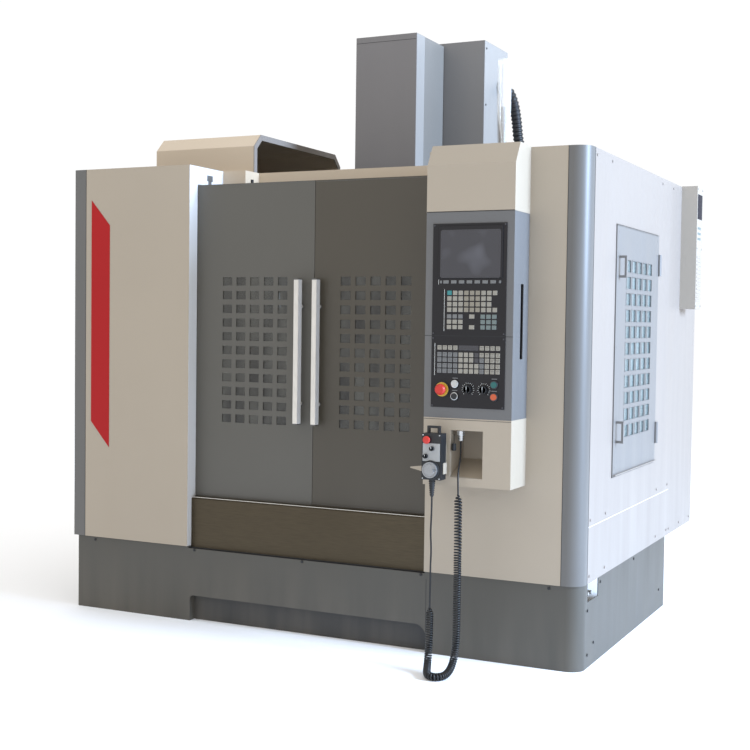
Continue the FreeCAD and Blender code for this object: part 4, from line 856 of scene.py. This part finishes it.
boxes("tool_number_window", "console", screen_glass,
      [((0.716, panel_face - 0.0012, 1.150), (0.792, panel_face + 0.0002, 1.168))], 0.001)

# ---- push buttons and stop button --------------------------------------------------------------
# Moulded buttons in turned or dark rings. The stop button is a red mushroom cap on a yellow ring, and
# the pendant has a small one.


def middle_of(name):
    """The centre of a solid's box."""
    low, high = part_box(name)
    return (low + high) / 2


def turned_ring(work, centre, profile, steps=40):
    """A ring turned about a line along Y: the profile gives radius and depth in front of a centre."""
    verts, edges = chain(work, [Vector(centre) + Vector((radius, -ahead, 0)) for radius, ahead in profile])
    bmesh.ops.spin(work, geom=verts + edges, cent=centre, axis=(0, 1, 0), angle=math.tau, steps=steps,
                   use_merge=True)
    bmesh.ops.remove_doubles(work, verts=work.verts, dist=0.00003)


stop_red = finish("stop_red", (182, 34, 20), 0.35, dust=0, coat=0.15)
yellow = finish("yellow_plastic", (192, 152, 48), 0.40, dust=0)
clad(finish("green_button", (12, 84, 80), 0.3, dust=0, coat=0.2), "start_button")
clad(finish("orange_button", (178, 76, 36), 0.3, dust=0, coat=0.2), "hold_button")
clad(finish("white_button", (172, 171, 166), 0.3, dust=0, coat=0.2), "power_on_button")
clad(black, "power_off_button")
clad(stop_red, "console_stop_button", "pendant_stop_button")
for label, metal, names in (("bright_button_rings", turned, ("power_on_button", "power_off_button")),
                            ("dark_button_rings", key_dark, ("start_button", "hold_button"))):
    work = bmesh.new()
    for name in names:
        at = middle_of(name)
        turned_ring(work, (at.x, panel_face, at.z), ((0.0113, 0.0), (0.0113, 0.0056), (0.0119, 0.0062),
                                                     (0.0137, 0.0056), (0.0145, 0.0040), (0.0145, 0.0)))
    piece(label, work, "console", metal, smooth=True)
stop = middle_of("console_stop_button")
work = bmesh.new()
turned_ring(work, (stop.x, panel_face, stop.z),
            ((0.0095, 0.0), (0.0095, 0.0036), (0.0247, 0.0036), (0.0260, 0.0026), (0.0260, 0.0)))
piece("stop_ring", work, "console", yellow, smooth=True)
for name, node, radius, proud in (("stop_cap", "console_stop_button", 0.020, 0.0074),
                                  ("pendant_stop_cap", "pendant_stop_button", 0.0140, 0.0040)):
    at = middle_of(node)
    work = bmesh.new()
    turned_ring(work, (at.x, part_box(node)[0].y + proud, at.z),
                [(radius * out, radius * ahead) for out, ahead in
                 ((0.0, 0.36), (0.30, 0.345), (0.62, 0.27), (0.90, 0.13), (1.0, 0.0), (0.98, -0.16),
                  (0.80, -0.22), (0.0, -0.22))], 48)
    piece(name, work, node, stop_red, smooth=True)
boxes("button_labels", "console", key_grey,
      [((x - 0.010, panel_face - 0.0005, z + 0.0190), (x + 0.010, panel_face + 0.0002, z + 0.0220))
       for x, z in ((0.704, 1.030), (0.703, 0.986), (0.853, 1.031), (0.853, 0.988))], 0)

# ---- override knobs ----------------------------------------------------------------------------
# Fluted black knobs, each with a raised pointer bar and a white index line, turn over printed scales.


def knob(node, radius, depth):
    """A fluted grip over a knob's stem, with its pointer bar and index line."""
    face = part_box(node)[0].y
    centre, flutes = middle_of(node), 12
    work = bmesh.new()
    before = []
    for ahead, swell in ((0.0, 1.0), (depth * 0.75, 0.97), (depth, 0.86)):
        place = Matrix.Translation((centre.x, face + depth - ahead, centre.z)) @ AXES["y"]
        ring = bmesh.ops.create_circle(work, cap_ends=ahead != depth * 0.75, segments=3 * flutes,
                                       radius=radius * swell, matrix=place)
        grooves = [v for k, v in enumerate(ring["verts"]) if k % 3]
        bmesh.ops.scale(work, vec=(0.965, 0.965, 0.965), verts=grooves, space=place.inverted())
        edges = list({e for v in ring["verts"] for e in v.link_edges})
        if before:
            bmesh.ops.bridge_loops(work, edges=before + edges)
        before = edges
    block(work, (centre.x - radius * 0.16, face - 0.0030, centre.z - radius * 0.8),
          (centre.x + radius * 0.16, face + 0.001, centre.z + radius * 0.8), 0.0008)
    piece(f"{node}_grip", work, node, black)
    boxes(f"{node}_grip_index", node, print_and_highlight_white,
          [((centre.x - 0.0006, face - 0.0033, centre.z),
            (centre.x + 0.0006, face - 0.0028, centre.z + radius * 0.8))], 0)


def scale_mark(work, centre, face, angle, near, far, wide):
    """One line of a round scale, along a ray from the centre, standing on a face."""
    bmesh.ops.create_cube(work, size=1.0, matrix=Matrix.Translation((centre.x, face + 0.0002, centre.z))
                          @ Matrix.Rotation(-angle, 4, "Y") @ Matrix.Translation(((near + far) / 2, 0, 0))
                          @ Matrix.Diagonal((far - near, 0.0004, wide, 1)))


clad(black, "feed_knob", "speed_knob")
scale_lines, scale_sweep = 15, math.radians(270)
work = bmesh.new()
for name in ("feed_knob", "speed_knob"):
    knob(name, 0.0142, 0.015)
    for i in range(scale_lines):
        scale_mark(work, middle_of(name), panel_face - 0.0003,
                   math.radians(-45) + scale_sweep * i / (scale_lines - 1), 0.0195,
                   0.0235 if i % 2 else 0.0250, 0.0008)
piece("knob_scales", work, "console", print_and_highlight_white)

# ---- header box and shelf box ------------------------------------------------------------------
# Welded cream boxes above and below the console. The shelf box has a pocket with a sloped floor that
# holds the cord's socket and its cap on a string.

clad(cream, "console_header_box", "console_shelf_box")
shelf_low, shelf_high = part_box("console_shelf_box")
header_low, header_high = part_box("console_header_box")
boxes("box_seams", "frame", black,
      [((low.x + 0.001, low.y - 0.0005, bottom), (high.x - 0.001, low.y + 0.0005, top))
       for low, high, bottom, top in
       ((shelf_low, shelf_high, shelf_high.z - 0.006, shelf_high.z - 0.0046),
        (header_low, header_high, header_low.z, header_low.z + 0.0022))], 0)
work = bmesh.new()
work.faces.new([work.verts.new(p) for p in ((0.689, -0.957, 0.6955), (0.811, -0.957, 0.6955),
                                            (0.811, -0.832, 0.752), (0.689, -0.832, 0.752))])
thicken(work, (0, 0.0015, -0.0005))
piece("pocket_floor", work, "frame", cream)
work = bmesh.new()
block(work, (0.700, -0.925, 0.8630), (0.742, -0.875, 0.8655), 0.0006)
rod(work, "z", (0.720, -0.936, 0.8455), 0.016, 0.0145, edge=0.001, segments=8)
piece("socket_shell", work, "frame", turned)
work = bmesh.new()
rod(work, "z", (0.699, -0.950, 0.790), 0.026, 0.0085, edge=0.002, segments=24)
rod(work, "z", (0.699, -0.950, 0.814), 0.034, 0.0016, segments=8)
piece("socket_cap", work, "frame", rubber)
pivot_x, pivot_y, washer_half = 0.593, -0.862, 0.012
boxes("console_washers", "console", steel,
      [((pivot_x - washer_half, pivot_y - washer_half, z),
        (pivot_x + washer_half, pivot_y + washer_half, z + 0.0002))
       for z in (0.9070, 1.6412)], 0)

# ---- hand wheel pendant ------------------------------------------------------------------------
# Black moulded case in a sheet cradle: a turned dial with a graduated edge and a crank grip, two
# selector knobs on a grey plate, a red stop button and a hanging loop.

clad(black, "pendant_case", "pendant_axis_knob", "pendant_step_knob")
clad(shaded_cream, "pendant_holder")
case_low, case_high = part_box("pendant_case")
case_face = -1.035
left, middle, right, rear = 0.611, 0.648, 0.685, -0.986
work = bmesh.new()
block(work, (left, rear - 0.003, 0.710), (right, rear, 0.820), 0.0008)
block(work, (middle - 0.020, rear, 0.740), (middle + 0.020, shelf_low.y + 0.001, 0.790), 0.0008)
for x in (left - 0.003, right):
    block(work, (x, rear - 0.030, 0.710), (x + 0.003, rear, 0.750), 0.0008)
wedge = bmesh.ops.create_cube(work, size=1.0, matrix=Matrix.Translation((0.548, -0.9135, 0.713))
                              @ Matrix.Diagonal((0.070, 0.003, 0.028, 1)))
bmesh.ops.scale(work, vec=(1, 1, 0.15), verts=[v for v in wedge["verts"] if v.co.x < 0.52],
                space=Matrix.Translation((0, 0, -0.716)))
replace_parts(piece("pendant_bracket", work, "frame", cream), "pendant_holder")
plate_grey = finish("pendant_plate", (150, 150, 148), 0.4, dust=0, bump=0.03)
boxes("pendant_plate", "frame", plate_grey,
      [((0.6150, case_face - 0.0012, 0.7560), (0.6810, case_face + 0.0003, 0.8200))], 0.0012)
dial_metal = brushed("dial_metal", (150, 150, 150), 0.34, (30, 30, 30), 0.8)
clad(dial_metal, "pendant_dial")
dial = middle_of("pendant_dial")
work = bmesh.new()
turned_ring(work, (dial.x, case_face - 0.0003, dial.z),
            ((0.0, 0.0152), (0.018, 0.0152), (0.0195, 0.0140), (0.0265, 0.0142), (0.0283, 0.0128),
             (0.0283, 0.0010)), 60)
piece("dial_face", work, "pendant_dial", dial_metal, smooth=True)
dial_lines = 50
work = bmesh.new()
for i in range(dial_lines):
    scale_mark(work, dial, case_face - 0.0148, math.tau * i / dial_lines,
               0.0215 if i % 5 else 0.0200, 0.0255, 0.00044)
piece("dial_marks", work, "pendant_dial", key_dark)
work = bmesh.new()
turned_ring(work, (dial.x, case_face, dial.z),
            ((0.0290, 0.0), (0.0290, 0.0050), (0.0315, 0.0056), (0.0335, 0.0040), (0.0335, 0.0)), 60)
piece("dial_guard", work, "frame", black, smooth=True)
for name in ("pendant_axis_knob", "pendant_step_knob"):
    knob(name, 0.0083, 0.012)
boxes("case_parting", "frame", rubber,
      [((case_low.x - 0.0004, -1.014, 0.692), (case_low.x + 0.0006, -1.0125, 0.853)),
       ((case_high.x - 0.0006, -1.014, 0.692), (case_high.x + 0.0004, -1.0125, 0.853))], 0)
boxes("case_button", "frame", rubber,
      [((case_low.x - 0.003, -1.026, 0.780), (case_low.x + 0.001, -1.002, 0.815))], 0.001)
screws("case_screws", "frame", [(x, case_face, z) for x in (0.616, 0.680) for z in (0.695, 0.849)],
       "-y", 0.0026, steel)
gland_rings = 7
work = bmesh.new()
for i in range(gland_rings):
    radius = 0.0062 + 0.0042 * i / (gland_rings - 1)
    rod(work, "z", (0.644, -1.015, 0.632 + 0.008 * i), 0.0052, radius + 0.0016, edge=0.001, segments=20)
piece("pendant_gland", work, "frame", rubber, smooth=True)

# ---- curly cord --------------------------------------------------------------------------------
# One limp black lead of 6.5 mm. It drops from the pendant's gland, is wound into a springy curl that
# reaches the floor, loops over it and climbs again, and ends in the round connector in the pocket.

gland_x, gland_y, gland_z = 0.648, -1.015, 0.628
curl_z = 0.015


def beside(*steps):
    """Points of the cord's route, measured from the gland across and from the floor up."""
    return [Vector((gland_x + x, gland_y + y, z)) for x, y, z in steps]


route_down = beside((-.004, 0, gland_z), (-.004, 0, .560), (-.006, -.003, .500), (-.003, 0, .440),
                    (-.006, .001, .380), (-.004, -.002, .320), (-.006, 0, .270))
route_curl = beside((-.006, 0, .230), (-.006, 0, .180), (-.005, -.002, .130), (-.004, -.008, .080),
                    (.002, -.030, .034), (.016, -.070, curl_z), (.038, -.108, curl_z), (.072, -.112, curl_z),
                    (.092, -.078, curl_z), (.097, -.034, .036), (.096, -.002, .080), (.095, .008, .130),
                    (.094, .012, .180), (.093, .014, .230), (.092, .015, .290), (.093, .016, .350),
                    (.091, .017, .410), (.092, .017, .470), (.090, .019, .530), (.090, .020, .590),
                    (.088, .021, .640))
route_up = beside((.087, .022, .668), (.084, .026, .700), (.080, .040, .726), (.076, .060, .744),
                  (.0736, .074, .770), (.072, .079, .800), (.072, .079, .826))
lead_radius, turn_radius, pitch, loose_pitch, per_turn = 0.00325, 0.0113, 0.0086, 0.0108, 14
curl_start_z, curl_end_z, ease = 0.236, 0.645, 0.03
loose_part, loosening = 0.24, 0.04
route = frames_along(smooth_line("cord_route", route_down + route_curl + route_up), pitch / per_turn)
down_length = next(goal for centre, _, _, _, goal in route if centre.z < curl_start_z)
up_length = [goal for centre, _, _, _, goal in route if centre.z < curl_end_z][-1]
winding, cord_points = 0.0, []
for i, (centre, _, across, third, goal) in enumerate(route):
    reach = min(1.0, max(0.0, (goal - down_length) / ease), max(0.0, (up_length - goal) / ease))
    if reach <= 0:
        if i % per_turn == 0 or i == len(route) - 1:
            cord_points.append(centre)
        continue
    loose = min(1.0, max(0.0, (goal - up_length + loose_part) / loosening))
    winding += math.tau / per_turn * pitch / (pitch + (loose_pitch - pitch) * loose)
    smooth = reach * reach * (3 - 2 * reach)
    cord_points.append(centre + turn_radius * smooth
                       * (math.cos(winding) * across + math.sin(winding) * third))
curve = nurbs("pendant_cord", cord_points, 2)
curve.bevel_depth, curve.bevel_resolution = lead_radius, 2
curve.materials.append(finish("cord_sheath", (14, 14, 15), 0.42, bump=0.05, dust=0.05, gloss=0.45))
cord = bpy.data.objects.new("pendant_cord", curve)
bpy.context.scene.collection.objects.link(cord)
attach(cord, "frame")
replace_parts(cord, "pendant_leads", "pendant_curl")
clad(steel, "cord_connector")
socket_x, socket_y = 0.720, -0.936
work = bmesh.new()
rod(work, "z", (socket_x, socket_y, 0.826), 0.010, 0.0065, 0.0112, edge=0.0006, segments=28)
for i in range(3):
    rod(work, "z", (socket_x, socket_y, 0.8462 + i * 0.0052), 0.0026, 0.0134, edge=0.0008, segments=36)
piece("connector_nut", work, "frame", turned, smooth=True)

# ---- service door ------------------------------------------------------------------------------
# The service door hangs on two knuckles at its rear edge. A clear pane sits behind its apertures, each
# of which has a pressed rim, and two pull grips are welded near the front edge.

service_grey = finish("service_door_powder_coat", (110, 107, 104), 0.40, mottle=0.04, dust=0.15)
clad(service_grey, "side_door")
side_face = wall + 0.004
side_pane = clouded_pane("side_pane", 0.55, 0.7, (5, 4), ((104, 122, 124), (140, 158, 158)), (0.08, 0.2))
boxes("side_pane", "side_door", side_pane,
      [((wall - 0.006, -0.293, 0.798), (wall + 0.0004, 0.129, 1.513))], 0.001)
lip, hole_wide, hole_tall = 0.0035, 0.062, 0.047
rims = []
for column in range(5):
    for row in range(11):
        y, z = -0.281 + 0.084 * column, 0.810 + 0.0644 * row
        far_y, far_z = y + hole_wide, z + hole_tall
        rims += [((side_face, *near), (side_face + 0.0012, *far)) for near, far in
                 (((y - lip, z - lip), (far_y + lip, z)), ((y - lip, far_z), (far_y + lip, far_z + lip)),
                  ((y - lip, z), (y, far_z)), ((far_y, z), (far_y + lip, far_z)))]
boxes("side_aperture_rims", "side_door", service_grey, rims, 0)
boxes("side_door_edges", "side_door", strip_grey,
      [((side_face - 0.0005, -0.4267, 1.6235), (side_face + 0.0006, 0.2345, 1.6275)),
       ((side_face - 0.0005, -0.4270, 0.6675), (side_face + 0.0006, 0.2345, 0.6700))], 0)
boxes("side_door_drip", "side_door", shaded_cream,
      [((side_face, -0.42, 0.672), (side_face + 0.010, 0.228, 0.676))], 0.0008)
boxes("side_rub_marks", "side_door", strip_grey,
      [((side_face - 0.0005, y, z), (side_face + 0.0005, y + 0.004, z + 0.004))
       for y in (-0.405, 0.205) for z in (0.70, 1.16, 1.60)], 0)
hinge_heights = (0.747, 1.458)
boxes("hinge_leaves", "frame", shaded_cream,
      [((wall, 0.2465, z), (wall + 0.003, 0.285, z + 0.090)) for z in hinge_heights], 0.0008)
screws("hinge_screws", "frame",
       [(wall + 0.003, 0.268, z + up) for z in hinge_heights for up in (0.020, 0.070)], "x", 0.0045, steel)

# ---- cabinet cooler ----------------------------------------------------------------------------
# A slim cooler behind the service door, with a dark display and blank label strips over its louvres.

cooler_grey = finish("cooler_powder_coat", (153, 144, 132), 0.42, mottle=0.03, dust=0.1)
clad(cooler_grey, "cabinet_cooler")
cool_low, cool_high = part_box("cabinet_cooler")
cooler_screen = finish("cooler_display", (30, 30, 38), 0.4, dust=0, gloss=0.1)
boxes("cooler_display", "frame", cooler_screen,
      [((cool_high.x - 0.001, cool_low.y + 0.010, 1.734),
        (cool_high.x + 0.0015, cool_high.y - 0.012, 1.846))], 0.0008)
boxes("cooler_labels", "frame", key_sea,
      [((cool_high.x - 0.0005, cool_low.y + 0.018, z), (cool_high.x + 0.0006, cool_high.y - 0.030, z + 0.010))
       for z in (1.640, 1.664, 1.688)], 0.0002)
boxes("cooler_louvres", "frame", cooler_grey,
      [((cool_high.x - 0.001, cool_low.y + 0.015, z), (cool_high.x + 0.0025, cool_high.y - 0.015, z + 0.008))
       for z in (1.360 + 0.018 * i for i in range(12))], 0.001)
screws("cooler_screws", "frame", [(cool_high.x, y, z) for y in (cool_low.y + 0.009, cool_high.y - 0.009)
                                  for z in (1.340, 1.60, 1.868)], "x", 0.0035, steel)

# ---- electrical cabinet ------------------------------------------------------------------------
# A zinc plate carries drives in three rows and slotted wiring ducts. The cabinet's door has a rubber
# seal, two quarter-turn locks and the main switch on a yellow plate.

zinc = brushed("zinc_plate", (186, 188, 186), 0.4, (1, 30, 1), 0.8)
plate_y = cabinet_low.y + 0.003
boxes("mounting_plate", "frame", zinc,
      [((cabinet_low.x + 0.03, plate_y, 0.40), (cabinet_high.x - 0.03, plate_y + 0.004, 1.80))], 0.001)
work = bmesh.new()
for z, tall, deep in ((1.36, 0.36, 0.19), (0.92, 0.26, 0.16), (0.55, 0.16, 0.10)):
    for i in range(4):
        x = cabinet_low.x + 0.055 + 0.118 * i
        block(work, (x, plate_y + 0.004, z), (x + 0.096, plate_y + deep, z + tall), 0.004)
        for k in range(6):
            fin_z = z + tall - 0.02 - 0.010 * k
            block(work, (x + 0.012, plate_y + deep - 0.0015, fin_z),
                  (x + 0.084, plate_y + deep + 0.001, fin_z + 0.004))
piece("drive_units", work, "frame", console_grey)
work = bmesh.new()
for z in (0.50, 0.80, 1.27, 1.75):
    for i in range(40):
        x = cabinet_low.x + 0.040 + 0.0122 * i
        block(work, (x, plate_y + 0.004, z), (x + 0.0085, plate_y + 0.060, z + 0.036))
    block(work, (cabinet_low.x + 0.038, plate_y + 0.060, z),
          (cabinet_high.x - 0.038, plate_y + 0.063, z + 0.036), 0.001)
piece("wiring_ducts", work, "frame", plate_grey)
boxes("cabinet_seal", "cabinet_door", rubber,
      [((0.585, 0.9885, z), (1.090, 0.9985, z + 0.010)) for z in (0.350, 1.832)]
      + [((x, 0.9885, 0.350), (x + 0.010, 0.9985, 1.842)) for x in (0.585, 1.080)], 0.002)
work = bmesh.new()
for z in (0.62, 1.30):
    rod(work, "y", (1.075, 1.002, z), 0.008, 0.014, edge=0.002)
    block(work, (1.0735, 1.0085, z - 0.009), (1.0765, 1.0115, z + 0.009), 0.0006)
piece("cabinet_locks", work, "cabinet_door", turned)
clad(black, "main_switch")
boxes("switch_plate", "cabinet_door", yellow,
      [((0.968, 1.0015, 1.460), (1.048, 1.0045, 1.540))], 0.001)

# ---- rear service cover ------------------------------------------------------------------------
# A plain stepped cover plate on the rear panel.

boxes("service_cover", "frame", shaded_cream,
      [((-1.02, back_face - 0.001, 1.02), (-0.84, back_face + 0.004, 1.24)),
       ((-1.01, back_face + 0.0035, 1.03), (-0.85, back_face + 0.006, 1.23))], 0.001)
